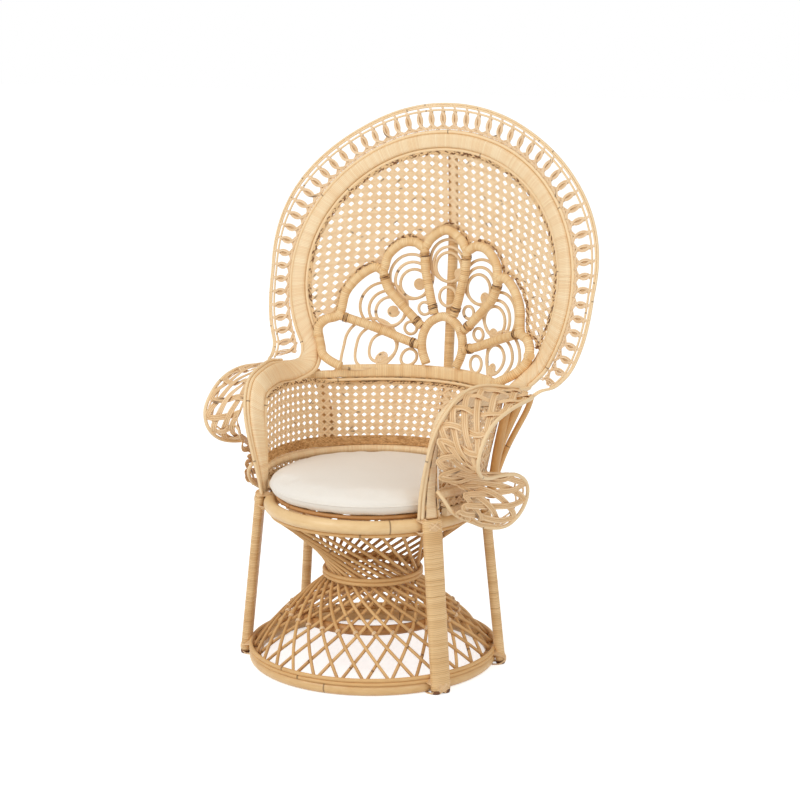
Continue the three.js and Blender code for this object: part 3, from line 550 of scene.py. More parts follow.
class Pile:
    """Swept solids gathered for one mesh, each with its length along and a tint of its own."""

    def __init__(self):
        self.points = []
        self.corners = []
        self.sizes = []
        self.places = []
        self.tints = []
        self.count = 0

    def sweep(self, path, up, outline, closed=False, tint=None, grow=None):
        """outline is carried along path. Its first axis lies across, and its second one along up."""
        path = np.asarray(path, float)
        along = tangents(path, closed)
        up = np.broadcast_to(np.asarray(up, float), path.shape)
        across = unit(np.cross(along, up))
        square = np.cross(across, along)
        shape = np.broadcast_to(outline, (len(path), len(outline), 2))
        if grow is not None:
            shape = shape * np.asarray(grow, float).reshape(len(path), 1, -1)
        rows = path[:, None] + shape[:, :, :1] * across[:, None] + shape[:, :, 1:] * square[:, None]
        self.add(rows, closed, tint)

    def tube(self, path, radius, sides=ROD_SIDES, up=UP, closed=False, tint=None, grow=None):
        self.sweep(path, up, round_outline(radius, sides), closed, tint, grow)

    def add(self, rows, closed=False, tint=None):
        """rows holds one outline's points for each station of a solid."""
        stations, sides = rows.shape[:2]
        middle = rows.mean(axis=1)
        steps = np.linalg.norm(np.diff(middle, axis=0, append=middle[:1]), axis=1) * MM
        length = np.concatenate([[0], np.cumsum(steps)]) + rng.random()
        spans = stations if closed else stations - 1
        step, side = np.meshgrid(np.arange(spans), np.arange(sides), indexing="ij")
        ahead = (step + 1) % stations * sides
        turn = (side + 1) % sides
        here = step * sides
        quads = np.stack([here + side, here + turn, ahead + turn, ahead + side], -1)
        lengths = np.stack([length[step], length[step], length[step + 1], length[step + 1]], -1)
        turns = np.stack([side, side + 1, side + 1, side], -1) / sides
        self.corners.append(quads.reshape(-1) + self.count)
        self.sizes.append(np.full(spans * sides, 4))
        self.places.append(np.stack([lengths, turns], -1).reshape(-1, 2))
        if not closed:
            self.cap(np.arange(sides)[::-1], length[0])
            self.cap((stations - 1) * sides + np.arange(sides), length[stations - 1])
        self.points.append(rows.reshape(-1, 3))
        self.tints.append(np.full(stations * sides, rng.random() if tint is None else tint))
        self.count += stations * sides

    def cap(self, ring, length):
        self.corners.append(ring + self.count)
        self.sizes.append(np.array([len(ring)]))
        self.places.append(np.stack([np.full(len(ring), length), np.arange(len(ring)) / len(ring)], -1))

    def piece(self, name, material, nodes=(), body="root"):
        corners = np.concatenate(self.corners)
        sizes = np.concatenate(self.sizes)
        points = np.concatenate(self.points) * MM + np.array([0, CHAIR_MIDDLE_Y, 0])
        mesh = bpy.data.meshes.new(name)
        mesh.vertices.add(len(points))
        mesh.vertices.foreach_set("co", points.astype(np.float32).ravel())
        mesh.loops.add(len(corners))
        mesh.loops.foreach_set("vertex_index", corners.astype(np.int32))
        mesh.polygons.add(len(sizes))
        mesh.polygons.foreach_set("loop_start", (np.cumsum(sizes) - sizes).astype(np.int32))
        mesh.polygons.foreach_set("use_smooth", sizes == 4)
        mesh.update(calc_edges=True)
        layer = mesh.uv_layers.new(name="strand")
        layer.data.foreach_set("uv", np.concatenate(self.places).astype(np.float32).ravel())
        tint = mesh.attributes.new("tint", "FLOAT", "POINT")
        tint.data.foreach_set("value", np.concatenate(self.tints).astype(np.float32))
        mesh.materials.append(material)
        thing = placed(name, mesh)
        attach(thing, body)
        if nodes:
            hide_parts(*nodes)


# Materials


# How far a noise runs along a strand or across the part, how much each part of a tone counts, where a
# tone or a mark sets in and is full, and how deep the surface is marked in metres
TINT_SPREAD = 40.0
STREAK_STRETCH = 9.0
STREAK_SCALE = 3.0
STREAK_DETAIL = 4.0
STREAK_PART = 0.55
TINT_PART = 0.35
FINE_STRETCH = 30.0
FINE_SCALE = 2.0
FINE_DETAIL = 3.0
FINE_PART = 0.25
TONE_RANGE = (0.3, 0.85)
JOINT_SPREAD = 7.0
JOINT_RANGE = (0.494, 0.499)
JOINT_DARKNESS = 0.75
JOINT_RELIEF = 1.5
RELIEF_STRENGTH = 0.5
CLOUD_SCALE = 16.0
CLOUD_PART = 0.7
WANDER_SCALE = 60.0
WANDER = 0.9
TURN_SPREAD = 100.0
TURN_PART = 0.4
GROOVE_RANGE = (0.3, 0.5)
GROOVE_DEPTH = 0.0006
SEAM_RANGE = (0.955, 0.96)
SEAM_DARKNESS = 0.35
# Dark patches along a strand, which on the crease lines by the band and the bar are painted shade
PATCH_STRETCH = 60.0
PATCH_ROUGHNESS = 0.6
PATCH_RELIEF = 0.3
PATCH_DEPTH = 0.0004
LINEN_ROUGHNESS = 0.95
LINEN_SHEEN = 0.25
LINEN_SHEEN_ROUGHNESS = 0.6
LINEN_CLOUD_SCALE = 7.0
LINEN_CLOUD_PART = 0.6
LINEN_THREAD_SCALE = 420.0
LINEN_THREAD_WANDER = 0.6
LINEN_THREAD_PART = 0.2
LINEN_SLUB_SCALE = 180.0
LINEN_RANGE = (0.2, 0.9)
LINEN_RELIEF = 0.25
LINEN_DEPTH = 0.0004
DARK = (92, 52, 22)


class Shader:
    """Builds one material out of nodes."""

    def __init__(self, name, roughness, coat=0.0):
        self.material = bpy.data.materials.new(name)
        self.material.use_nodes = True
        self.tree = self.material.node_tree
        self.surface = self.tree.nodes["Principled BSDF"]
        self.surface.inputs["Roughness"].default_value = roughness
        self.surface.inputs["Coat Weight"].default_value = coat

    def node(self, kind, inputs=None, **settings):
        made = self.tree.nodes.new(kind)
        for key, value in settings.items():
            setattr(made, key, value)
        for key, value in (inputs or {}).items():
            if isinstance(value, bpy.types.NodeSocket):
                self.tree.links.new(value, made.inputs[key])
            else:
                made.inputs[key].default_value = value
        return made

    def maths(self, operation, *values):
        return self.node("ShaderNodeMath", dict(enumerate(values)), operation=operation).outputs[0]

    def mix(self, share, first, second):
        inputs = {0: share, 6: first, 7: second}
        return self.node("ShaderNodeMix", inputs, data_type="RGBA", blend_type="MIX").outputs[2]

    def ramp(self, value, low, high):
        """0 up to low, 1 from high on, and evenly between them."""
        return self.node("ShaderNodeMapRange", {0: value, 1: low, 2: high}).outputs[0]

    def times(self, first, second):
        return self.maths("MULTIPLY", first, second)

    def plus(self, first, second):
        return self.maths("ADD", first, second)

    def from_middle(self, value):
        """How far a value lies from the middle of its turn: 0 there, and a half at the turn's ends."""
        return self.maths("ABSOLUTE", self.maths("SUBTRACT", self.maths("FRACT", value), 0.5))

    def blend(self, *parts):
        """The sum of values, each times its part."""
        total = self.times(*parts[0])
        for value, part in parts[1:]:
            total = self.plus(total, self.times(value, part))
        return total

    def place(self, x, y, z):
        return self.node("ShaderNodeCombineXYZ", {0: x, 1: y, 2: z}).outputs[0]

    def noise(self, place, scale, detail=2.0):
        inputs = {"Vector": place, "Scale": scale, "Detail": detail}
        return self.node("ShaderNodeTexNoise", inputs).outputs[0]

    def bump(self, height, strength, distance):
        inputs = {"Height": height, "Strength": strength, "Distance": distance}
        self.link(self.node("ShaderNodeBump", inputs).outputs[0], "Normal")

    def link(self, value, socket):
        self.tree.links.new(value, self.surface.inputs[socket])


def strand_places(shader):
    """How far along its strand a point lies, its share of the way round, and the strand's own tint."""
    strand = shader.node("ShaderNodeUVMap", uv_map="strand").outputs[0]
    split = shader.node("ShaderNodeSeparateXYZ", {0: strand})
    tint = shader.node("ShaderNodeAttribute", attribute_name="tint").outputs["Fac"]
    return split.outputs[0], split.outputs[1], tint


def rattan(name, light, dark, roughness=0.5, streaks=22.0, joint_spacing=0.31, coat=0.0, depth=0.0004):
    """Rattan skin or core: streaks along the strand, a tint for each strand, and dark rings at joints."""
    shader = Shader(name, roughness, coat)
    along, around, tint = strand_places(shader)
    spread = shader.times(tint, TINT_SPREAD)
    place = shader.place(shader.times(along, STREAK_STRETCH), around, spread)
    streak = shader.noise(place, STREAK_SCALE, STREAK_DETAIL)
    lengthwise = shader.times(along, FINE_STRETCH)
    place = shader.place(lengthwise, shader.times(around, streaks), spread)
    fine = shader.noise(place, FINE_SCALE, FINE_DETAIL)
    share = shader.blend((streak, STREAK_PART), (tint, TINT_PART), (fine, FINE_PART))
    colour = shader.mix(shader.ramp(share, *TONE_RANGE), linear(*light), linear(*dark))
    shift = shader.times(tint, JOINT_SPREAD)
    turned = shader.plus(shader.maths("DIVIDE", along, joint_spacing), shift)
    wave = shader.from_middle(turned)
    joint = shader.ramp(wave, *JOINT_RANGE)
    colour = shader.mix(shader.times(joint, JOINT_DARKNESS), colour, linear(*DARK))
    shader.link(colour, "Base Color")
    raised = shader.plus(fine, shader.times(joint, JOINT_RELIEF))
    shader.bump(raised, RELIEF_STRENGTH, depth)
    return shader.material


def wrapped(name, light, dark, mark, pitch=0.0038, roughness=0.45, groove_share=0.3):
    """Peel wound round a pole: one turn after another, with a groove between them and a few darker turns."""
    shader = Shader(name, roughness)
    along, _, tint = strand_places(shader)
    whole = shader.node("ShaderNodeTexCoord").outputs["Object"]
    cloud = shader.noise(whole, CLOUD_SCALE, 3.0)
    wander = shader.times(shader.noise(whole, WANDER_SCALE), WANDER)
    turns = shader.plus(shader.maths("DIVIDE", along, pitch), wander)
    spread = shader.times(tint, TURN_SPREAD)
    turn = shader.maths("FLOOR", shader.plus(turns, spread))
    drawn = shader.node("ShaderNodeTexWhiteNoise", {"W": turn}, noise_dimensions="1D").outputs[0]
    edge = shader.from_middle(turns)
    groove = shader.ramp(edge, *GROOVE_RANGE)
    seam = shader.ramp(drawn, *SEAM_RANGE)
    share = shader.blend((cloud, CLOUD_PART), (drawn, TURN_PART))
    colour = shader.mix(shader.ramp(share, *TONE_RANGE), linear(*light), linear(*dark))
    depth = shader.plus(groove_share, shader.times(seam, SEAM_DARKNESS))
    colour = shader.mix(shader.times(groove, depth), colour, linear(*mark))
    shader.link(colour, "Base Color")
    shader.bump(shader.maths("SUBTRACT", 1.0, groove), RELIEF_STRENGTH, GROOVE_DEPTH)
    return shader.material


def broken_line(name, light, dark, low=0.42, high=0.58):
    """A strand dark in patches; on the band's edge lines and the bar's lines, this is painted shade."""
    shader = Shader(name, PATCH_ROUGHNESS)
    along, around, tint = strand_places(shader)
    place = shader.place(shader.times(along, PATCH_STRETCH), around, tint)
    dark_patches = shader.ramp(shader.noise(place, 1.0, 3.0), low, high)
    shader.link(shader.mix(dark_patches, linear(*dark), linear(*light)), "Base Color")
    shader.bump(dark_patches, PATCH_RELIEF, PATCH_DEPTH)
    return shader.material


def linen_cloth(name, light, dark):
    """Plain linen: crossing threads, a little slub, and soft clouds of tone."""
    shader = Shader(name, LINEN_ROUGHNESS)
    shader.surface.inputs["Sheen Weight"].default_value = LINEN_SHEEN
    shader.surface.inputs["Sheen Roughness"].default_value = LINEN_SHEEN_ROUGHNESS
    whole = shader.node("ShaderNodeTexCoord").outputs["Object"]
    clouds = shader.noise(whole, LINEN_CLOUD_SCALE, 3.0)
    wave = {"Vector": whole, "Scale": LINEN_THREAD_SCALE, "Distortion": LINEN_THREAD_WANDER, "Detail": 1.0}
    threads = []
    for axis in ("X", "Y"):
        threads.append(shader.node("ShaderNodeTexWave", wave, bands_direction=axis).outputs[1])
    weave = shader.plus(*threads)
    slub = shader.noise(whole, LINEN_SLUB_SCALE, 2.0)
    share = shader.blend((clouds, LINEN_CLOUD_PART), (weave, LINEN_THREAD_PART))
    shader.link(shader.mix(shader.ramp(share, *LINEN_RANGE), linear(*light), linear(*dark)), "Base Color")
    shader.bump(shader.plus(weave, slub), LINEN_RELIEF, LINEN_DEPTH)
    return shader.material


ring_pole = rattan("ring_pole_skin", (246, 212, 158), (222, 178, 118), 0.42, 14.0, 0.43, 0.1)
brown_pole = rattan("brown_pole_skin", (214, 160, 98), (172, 116, 62), 0.45, 14.0, 0.37)
post_pole = rattan("post_pole_skin", (234, 188, 124), (202, 148, 86), 0.42, 14.0, 0.33)
bell_rod = rattan("bell_rod_core", (236, 192, 130), (204, 154, 94), 0.55, 22.0, 0.6)
pale_rod = rattan("pale_rod_core", (253, 226, 182), (236, 198, 146), 0.5, 22.0, 0.4)
scroll_rod = rattan("scroll_rod_core", (250, 222, 180), (230, 194, 144), 0.55, 22.0, 0.9)
cane_strand = rattan("cane_strand", (254, 228, 188), (238, 202, 154), 0.45, 8.0, 1.7, 0.0, 0.0002)
shell_strand = rattan("shell_strand", (250, 218, 174), (226, 184, 130), 0.5, 8.0, 3.1, 0.0, 0.0003)
lace_strand = rattan("lace_strand_core", (252, 224, 186), (234, 198, 152), 0.5, 8.0, 3.1, 0.0, 0.0003)
band_wrap = wrapped("band_wrap", (255, 230, 188), (246, 210, 160), (186, 132, 74))
bar_wrap = wrapped("bar_wrap", (254, 224, 174), (240, 200, 144), (176, 122, 68), 0.0046, 0.5, 0.3)
motif_wrap = wrapped("motif_wrap", (252, 220, 168), (236, 192, 132), (160, 106, 54), 0.0045, 0.5, 0.45)
leg_wrap = wrapped("leg_wrap", (246, 208, 152), (224, 178, 118), (140, 92, 46), 0.0042, 0.45, 0.4)
# Painted shade: a darker tan for the filling strands that lie behind the lace loops
lace_shade = rattan("lace_shade_core", (232, 194, 146), (212, 172, 122), 0.6, 8.0, 0.6, 0.0, 0.0003)
cane_edge = broken_line("cane_edge", (240, 204, 152), (120, 72, 32), 0.42, 0.5)
border_braid = broken_line("border_braid", (228, 184, 126), (180, 128, 72), 0.35, 0.6)
# Painted shade on the dark crease lines by the band and the bar; the motif's lashings share it
stain_and_shade = broken_line("stain_and_shade_line", (222, 176, 116), (96, 56, 24))
nail_brown = broken_line("nail_brown", (120, 74, 36), (70, 38, 16))
linen = linen_cloth("linen_cloth", (250, 244, 234), (238, 229, 215))


# Curves and surfaces


def smooth(points, shares):
    """Places along a curve through points, at shares of the way counted by point."""
    points = np.asarray(points, float)
    spans = len(points) - 1
    padded = np.vstack([2 * points[0] - points[1], points, 2 * points[-1] - points[-2]])
    place = np.asarray(shares, float) * spans
    first = np.clip(np.floor(place), 0, spans - 1).astype(int)
    along = (place - first)[:, None]
    a, b, c, d = (padded[first + step] for step in range(4))
    spacings = (np.sqrt(np.linalg.norm(q - p, axis=1))[:, None] for p, q in ((a, b), (b, c), (c, d)))
    before, between, after = spacings
    leave = ((b - a) / before - (c - a) / (before + between) + (c - b) / between) * between
    arrive = ((c - b) / between - (d - b) / (between + after) + (d - c) / after) * between
    curve = 2 * b - 2 * c + leave + arrive
    bend = 3 * c - 3 * b - 2 * leave - arrive
    return ((curve * along + bend) * along + leave) * along + b


def smooth_flat(shares, count):
    """A flat curve through shares, at count places."""
    shares = np.asarray(shares, float)
    return smooth(np.column_stack([shares, np.zeros(len(shares))]), np.linspace(0, 1, count))[:, :2]


def evenly(points, shares):
    """Places along a curve through points, at shares of its length."""
    steps = np.linspace(0, 1, MOTIF_FINENESS * len(points))
    run = run_of(smooth(points, steps))
    return smooth(points, np.interp(shares, run / run[-1], steps))


def run_of(path):
    """How far along the path each of its points lies."""
    return np.concatenate([[0], np.cumsum(np.linalg.norm(np.diff(path, axis=0), axis=1))])


def steady(path, spacing):
    """The same path with points at even spacing."""
    path = np.asarray(path, float)
    run = run_of(path)
    count = max(int(round(run[-1] / spacing)), 2)
    at = np.linspace(0, run[-1], count + 1)
    return np.stack([np.interp(at, run, path[:, axis]) for axis in range(path.shape[1])], axis=1)


def softened(path, passes):
    """Rounds the corners of an open path off a little."""
    path = np.array(path, float)
    for _ in range(passes):
        path[1:-1] = (path[:-2] + 2 * path[1:-1] + path[2:]) / 4
    return path


def mirrored(points):
    return np.asarray(points, float) * np.array([-1, 1, 1])


def around_axis(radius, angle, height):
    radius, angle, height = matched(radius, angle, height)
    return np.stack([radius * np.cos(angle), radius * np.sin(angle), height], axis=-1)


def back_depth(x, z):
    height = np.maximum(z, BAR_DEPTH_HEIGHT)
    below = (TOTAL_HEIGHT - height) / (TOTAL_HEIGHT - BAR_TOP)
    middle = BACK_AT_BAR + BACK_BOW * (1 - below ** 2)
    dish = np.maximum(DISH_DEPTH - (height - DISH_HEIGHT) * DISH_TAPER, 0)
    out = np.abs(x) / DISH_REACH
    fold = np.maximum(FOLD_TOP - height, 0) / FOLD_HEIGHT
    folded = np.minimum(np.abs(x) / FOLD_REACH, 1)
    bowed = out ** 2 / (1 + DISH_FLATTENING * out ** DISH_FLAT_POWER)
    return middle - dish * bowed - FOLD_DEPTH * (fold * folded) ** 2


def back_normal(x, z):
    across = (back_depth(x + SLOPE_STEP, z) - back_depth(x - SLOPE_STEP, z)) / (2 * SLOPE_STEP)
    rise = (back_depth(x, z + SLOPE_STEP) - back_depth(x, z - SLOPE_STEP)) / (2 * SLOPE_STEP)
    return unit(np.stack([-across, np.ones_like(across), -rise], axis=-1))


def on_back(x, z, behind=0.0):
    x, z, behind = matched(x, z, behind)
    return np.stack([x, back_depth(x, z), z], axis=-1) + back_normal(x, z) * behind[..., None]


def on_motif(x, z, behind=0.0):
    return on_back(x, z, np.asarray(behind) - FRAME_FORWARD * (np.asarray(x) / MOTIF_HALF_WIDTH) ** 2)


def hoop_flat(angle, outward):
    """The hoop in the plane: its x and z at an angle and a distance outside the band's outer edge."""
    angle, outward = matched(angle, outward)
    rise = BAND_RISE + outward * np.where(outward > 0, LACE_RISE_SHARE, 1)
    flare = 1 + np.maximum(outward, 0) * LACE_FLARE_SHARE / BAND_DROP
    drop = (BAND_DROP + np.minimum(outward, 0)) * flare
    height = HOOP_CENTRE + np.where(np.sin(angle) > 0, rise, drop) * np.sin(angle)
    below = np.maximum(HOOP_CENTRE - height, 0) / (HOOP_CENTRE - LACE_END_HEIGHT)
    tuck = np.maximum(outward - LACE_TUCK_OFFSET, 0) * LACE_TUCK * below ** LACE_TUCK_POWER
    above = np.where(np.sin(angle) > 0, np.maximum(np.sin(3 * angle), 0), 0)
    reach = np.clip((outward - LACE_SHOULDER_START) / (RIM_ROD_OFFSETS[0] - LACE_SHOULDER_START), 0, 1)
    narrowed = 1 - HOOP_NARROWING * np.maximum(-np.sin(angle), 0) ** 2
    wide = BAND_HALF_WIDTH + outward - tuck + LACE_SHOULDER * above * reach
    return wide * narrowed * np.cos(angle), height


def on_hoop(angle, outward):
    return on_back(*hoop_flat(angle, outward))


def hoop_angle(share, end, turn):
    """An angle by its share of the way round, with both ends of the way turned further out."""
    share = np.asarray(share, float)
    near = np.clip(1 - share / END_SPAN, 0, 1) ** 2 - np.clip(1 - (1 - share) / END_SPAN, 0, 1) ** 2
    return arch_angle(end, share) + turn * near


def hoop_angles(end, count):
    return np.linspace(end, math.pi - end, count)


def on_arm(shares):
    shares = np.asarray(shares, float)
    return shares * np.array([ARM_HALF_WIDTH, ARM_REACH, ARM_RISE]) + np.array([0, 0, ARM_BASE_HEIGHT])


def arm_edges(shares):
    """The right arm band's outer and inner edge."""
    outer = np.vstack([on_hoop(HOOP_CORNER, 0)[None], on_arm(ARM_OUTER_SHARES)])
    inner = np.vstack([on_hoop(HOOP_END, -BAND_WIDTH)[None], on_arm(ARM_INNER_SHARES)])
    place = ARM_START_SHARE + (1 - ARM_START_SHARE) * np.asarray(shares, float)
    return smooth(outer, place), smooth(inner, place)


def on_bar(x, z):
    place = on_back(x, BAR_BOTTOM, BAR_BEHIND)
    place[..., 2] = z
    return place


def ring_path(radius, height, count=RING_STATIONS):
    return around_axis(radius, turns_of(count), height)


def add_tube(name, material, node, path, radius, sides=ROD_SIDES, up=UP, closed=False, tint=None):
    """One rod as a piece of its own."""
    pile = Pile()
    pile.tube(path, radius, sides, up, closed, tint)
    nodes = [node] if isinstance(node, str) else node
    pile.piece(name, material, nodes)


def add_ring(name, material, node, radius, height, thick, sides):
    """One pole bent to a closed ring."""
    add_tube(name, material, node, ring_path(radius, height), thick, sides, closed=True)


def arch_angle(end, share):
    """An angle on an arch that starts at end and finishes as low on its other side."""
    return end + share * (math.pi - 2 * end)


# Pedestal


def bell_radius(height):
    share = (height - BELL_FOOT_HEIGHT) / (BELL_TOP_HEIGHT - BELL_FOOT_HEIGHT)
    straight = BASE_RING_RADIUS + (BELL_TOP_RADIUS - BASE_RING_RADIUS) * share
    return straight + 4 * BELL_BULGE * share * (1 - share)


def bell_turn(radius):
    return BELL_TWIST * np.log(radius / BELL_TOP_RADIUS) / math.log(BASE_RING_RADIUS / BELL_TOP_RADIUS)


def bell_path(direction, layer, turn):
    heights = np.linspace(BELL_FOOT_HEIGHT, BELL_TOP_HEIGHT, BELL_STATIONS)
    radii = bell_radius(heights)
    return around_axis(radii + layer, direction * bell_turn(radii) + turn, heights)


def cone_path(turn):
    sweep = math.acos(WAIST_PASS_RADIUS / CONE_TOP_RADIUS)
    start = around_axis(WAIST_PASS_RADIUS, turn, WAIST_HEIGHT)
    end = around_axis(CONE_TOP_RADIUS, turn - sweep, CONE_TOP_HEIGHT)
    return start + (end - start) * np.linspace(0, 1, CONE_STATIONS)[:, None]


def add_bell():
    """Two layers of spun rods, of which the outer one runs on above the waist as a cone."""
    outer = Pile()
    for height in (FOOT_ROD_LOW, FOOT_ROD_HIGH):
        outer.tube(ring_path(FOOT_ROD_RING, height), FOOT_ROD_RADIUS, RING_SIDES, closed=True, tint=ROD_TINT)
    under = ring_path(CONE_TOP_RADIUS, CONE_TOP_HEIGHT)
    outer.tube(under, UNDER_BEAD_RADIUS, RING_SIDES, closed=True, tint=ROD_TINT)
    inner = Pile()
    for turn in turns_of(BELL_RODS):
        rod = np.vstack([bell_path(1, BELL_OUTER_LAYER, turn), cone_path(turn)])
        outer.tube(softened(steady(rod, SPUN_SPACING), SPUN_SOFTENING), BELL_ROD_RADIUS)
        inner.tube(bell_path(-1, BELL_INNER_LAYER, turn), BELL_ROD_RADIUS)
    outer.piece("bell_outer_lattice", bell_rod, ["bell_outer_rods"])
    inner.piece("bell_inner_lattice", bell_rod, ["bell_inner_rods"])


def stretcher_ring_radius():
    """The ring inside the bell clears the inner rods by a gap, square to their slope."""
    rise = bell_radius(STRETCHER_HEIGHT + BELL_SLOPE_STEP) - bell_radius(STRETCHER_HEIGHT)
    reach = (BELL_ROD_RADIUS + STRETCHER_RADIUS) * math.hypot(1, rise / BELL_SLOPE_STEP) + STRETCHER_GAP
    return bell_radius(STRETCHER_HEIGHT) + BELL_INNER_LAYER - reach


def add_pedestal():
    add_ring("base_ring_pole", ring_pole, "base_ring", BASE_RING_RADIUS, BASE_POLE_RADIUS, BASE_POLE_RADIUS,
             BASE_POLE_SIDES)
    add_bell()
    add_ring("bell_stretcher_pole", brown_pole, "bell_stretcher_ring", stretcher_ring_radius(),
             STRETCHER_HEIGHT, STRETCHER_RADIUS, POST_SIDES)
    waist = Pile()
    for side in (-1, 1):
        ring = ring_path(WAIST_RING_RADIUS, WAIST_HEIGHT + side * WAIST_ROD_RADIUS)
        waist.tube(ring, WAIST_ROD_RADIUS, RING_SIDES, closed=True, tint=RIM_TINT)
    waist.piece("waist_rods", bell_rod, ["waist_ring_lower", "waist_ring_upper"])
    add_bell_ties()


def add_bell_ties():
    """Turns of strand round each outer rod where it crosses the stretcher ring."""
    ties = Pile()
    for turn in turns_of(BELL_RODS):
        rod = bell_path(1, BELL_OUTER_LAYER, turn)
        near = np.argmin(np.abs(rod[:, 2] - STRETCHER_HEIGHT))
        along = unit(rod[near + 1] - rod[near - 1])
        out = unit(rod[near] * LEVEL)
        winding(ties, rod[near], along, out, TIE_REACH, TIE_TURNS, TIE_PITCH, TIE_RADIUS)
    ties.piece("bell_ties", lace_strand)


def winding(pile, middle, along, out, reach, turns, pitch, radius):
    """Turns of a thin strand round whatever runs along through middle."""
    side = unit(np.cross(along, out))
    out = np.cross(side, along)
    share = np.linspace(-turns / 2, turns / 2, turns * TURN_STATIONS + 1)
    angle = share * 2 * math.pi
    offset = np.cos(angle)[:, None] * out * reach + np.sin(angle)[:, None] * side * reach
    path = middle + offset + (share * pitch)[:, None] * along
    pile.sweep(path, unit(offset), round_outline(radius, LINE_SIDES))


# Seat


def add_bearers():
    bearers = Pile()
    reach = math.sqrt(SEAT_INSIDE ** 2 - (BEARER_SPACING / 2 + BEARER_RADIUS) ** 2)
    for side in (-1, 1):
        path = np.full((BEARER_STATIONS, 3), (0, side * BEARER_SPACING / 2, SEAT_RING_HEIGHT), float)
        path[:, 0] = np.linspace(-reach, reach, BEARER_STATIONS)
        bearers.tube(path, BEARER_RADIUS, RING_SIDES)
    bearers.piece("seat_bearer_poles", brown_pole, ["seat_bearer_front", "seat_bearer_rear"])


def add_slats():
    """Each slat is a row of strands that end at the seat ring."""
    slats = Pile()
    spacing = (SLAT_WIDTH - SLAT_STRAND_WIDTH) / (SLAT_STRANDS - 1)
    for number in range(SLAT_COUNT):
        for strand in range(SLAT_STRANDS):
            x = (number - (SLAT_COUNT - 1) / 2) * SLAT_PITCH + (strand - (SLAT_STRANDS - 1) / 2) * spacing
            half = math.sqrt(SEAT_INSIDE ** 2 - (abs(x) + SLAT_STRAND_WIDTH) ** 2)
            path = np.full((SLAT_STATIONS, 3), (x, 0, SLAT_HEIGHT), float)
            path[:, 1] = np.linspace(-half, half, SLAT_STATIONS)
            slats.sweep(path, UP, strand_outline(SLAT_STRAND_WIDTH, SLAT_STRAND_THICKNESS))
    names = [f"seat_slat_{number + 1}" for number in range(SLAT_COUNT)]
    slats.piece("seat_slat_strands", cane_strand, names)


def add_seat():
    add_ring("seat_ring_pole", ring_pole, "seat_ring", SEAT_RING_RADIUS, SEAT_RING_HEIGHT, SEAT_POLE_RADIUS,
             SEAT_POLE_SIDES)
    add_bearers()
    add_slats()
    add_ring("seat_deck_rod", brown_pole, "seat_deck_ring", DECK_RING_RADIUS, DECK_RING_HEIGHT,
             DECK_ROD_RADIUS, RING_SIDES)


def cushion_shell():
    """The cushion before it swells, as a spun mesh in metres."""
    profile = smooth_flat(CUSHION_SECTION_SHARES, CUSHION_ROWS)[1:-1]
    points = [(0, CHAIR_MIDDLE_Y, CUSHION_BOTTOM * MM)]
    for out, rise in profile:
        height = (CUSHION_BOTTOM + rise * CUSHION_THICKNESS) * MM
        for side in range(CUSHION_SIDES):
            angle = side / CUSHION_SIDES * 2 * math.pi
            reach = out * CUSHION_RADIUS * MM
            points.append((reach * math.cos(angle), CHAIR_MIDDLE_Y + reach * math.sin(angle), height))
    points.append((0, CHAIR_MIDDLE_Y, (CUSHION_BOTTOM + CUSHION_THICKNESS) * MM))
    faces = []
    last = 1 + (len(profile) - 1) * CUSHION_SIDES
    for side in range(CUSHION_SIDES):
        ahead = (side + 1) % CUSHION_SIDES
        faces.append((0, 1 + ahead, 1 + side))
        for low in range(1, last, CUSHION_SIDES):
            high = low + CUSHION_SIDES
            faces.append((low + side, low + ahead, high + ahead, high + side))
        faces.append((last + side, last + ahead, len(points) - 1))
    mesh = bpy.data.meshes.new("cushion_cloth")
    mesh.from_pydata(points, [], faces)
    return placed("cushion_cloth", mesh)


def baked(thing):
    """Puts what the modifiers make of a mesh in its place."""
    graph = bpy.context.evaluated_depsgraph_get()
    mesh = bpy.data.meshes.new_from_object(thing.evaluated_get(graph))
    thing.modifiers.clear()
    thing.data = mesh


def points_of(mesh):
    places = np.empty(len(mesh.vertices) * 3, np.float32)
    mesh.vertices.foreach_get("co", places)
    return places.reshape(-1, 3).astype(float)


def swollen(cushion):
    """Blows the cushion up a little as cloth, with each point's move kept short."""
    remesh = cushion.modifiers.new("remesh", "REMESH")
    remesh.mode = "VOXEL"
    remesh.voxel_size = CUSHION_VOXEL * MM
    baked(cushion)
    before = points_of(cushion.data)
    cloth = cushion.modifiers.new("cloth", "CLOTH")
    cloth.settings.use_pressure = True
    cloth.settings.uniform_pressure_force = CUSHION_PRESSURE
    cloth.settings.effector_weights.gravity = 0
    for number in range(1, CUSHION_FRAMES + 1):
        bpy.context.scene.frame_set(number)
    baked(cushion)
    bpy.context.scene.frame_set(1)
    moves = points_of(cushion.data) - before
    size = np.linalg.norm(moves, axis=1, keepdims=True)
    moves *= np.minimum(1, CUSHION_SWELL * MM / np.maximum(size, TINY))
    after = before + moves
    after[:, 2] = np.clip(after[:, 2], CUSHION_BOTTOM * MM, None)
    cushion.data.vertices.foreach_set("co", after.astype(np.float32).ravel())
    cushion.data.update()


def add_cushion():
    cushion = cushion_shell()
    swollen(cushion)
    divide = cushion.modifiers.new("divide", "SUBSURF")
    divide.levels = 1
    divide.render_levels = 1
    baked(cushion)
    cushion.data.polygons.foreach_set("use_smooth", np.ones(len(cushion.data.polygons), bool))
    cushion.data.materials.clear()
    cushion.data.materials.append(linen)
    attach(cushion, "cushion")
    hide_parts("cushion")
    places = points_of(cushion.data)
    flat = places[:, :2] - np.array([0, CHAIR_MIDDLE_Y])
    reach = np.linalg.norm(flat, axis=1)
    rim = reach > reach.max() - PIPING_BAND * MM
    height = places[rim, 2].mean() / MM
    seam = Pile()
    seam.tube(ring_path(reach.max() / MM, height, PIPING_STATIONS), PIPING_RADIUS, closed=True)
    seam.piece("cushion_seam", linen, body="cushion")


# Legs


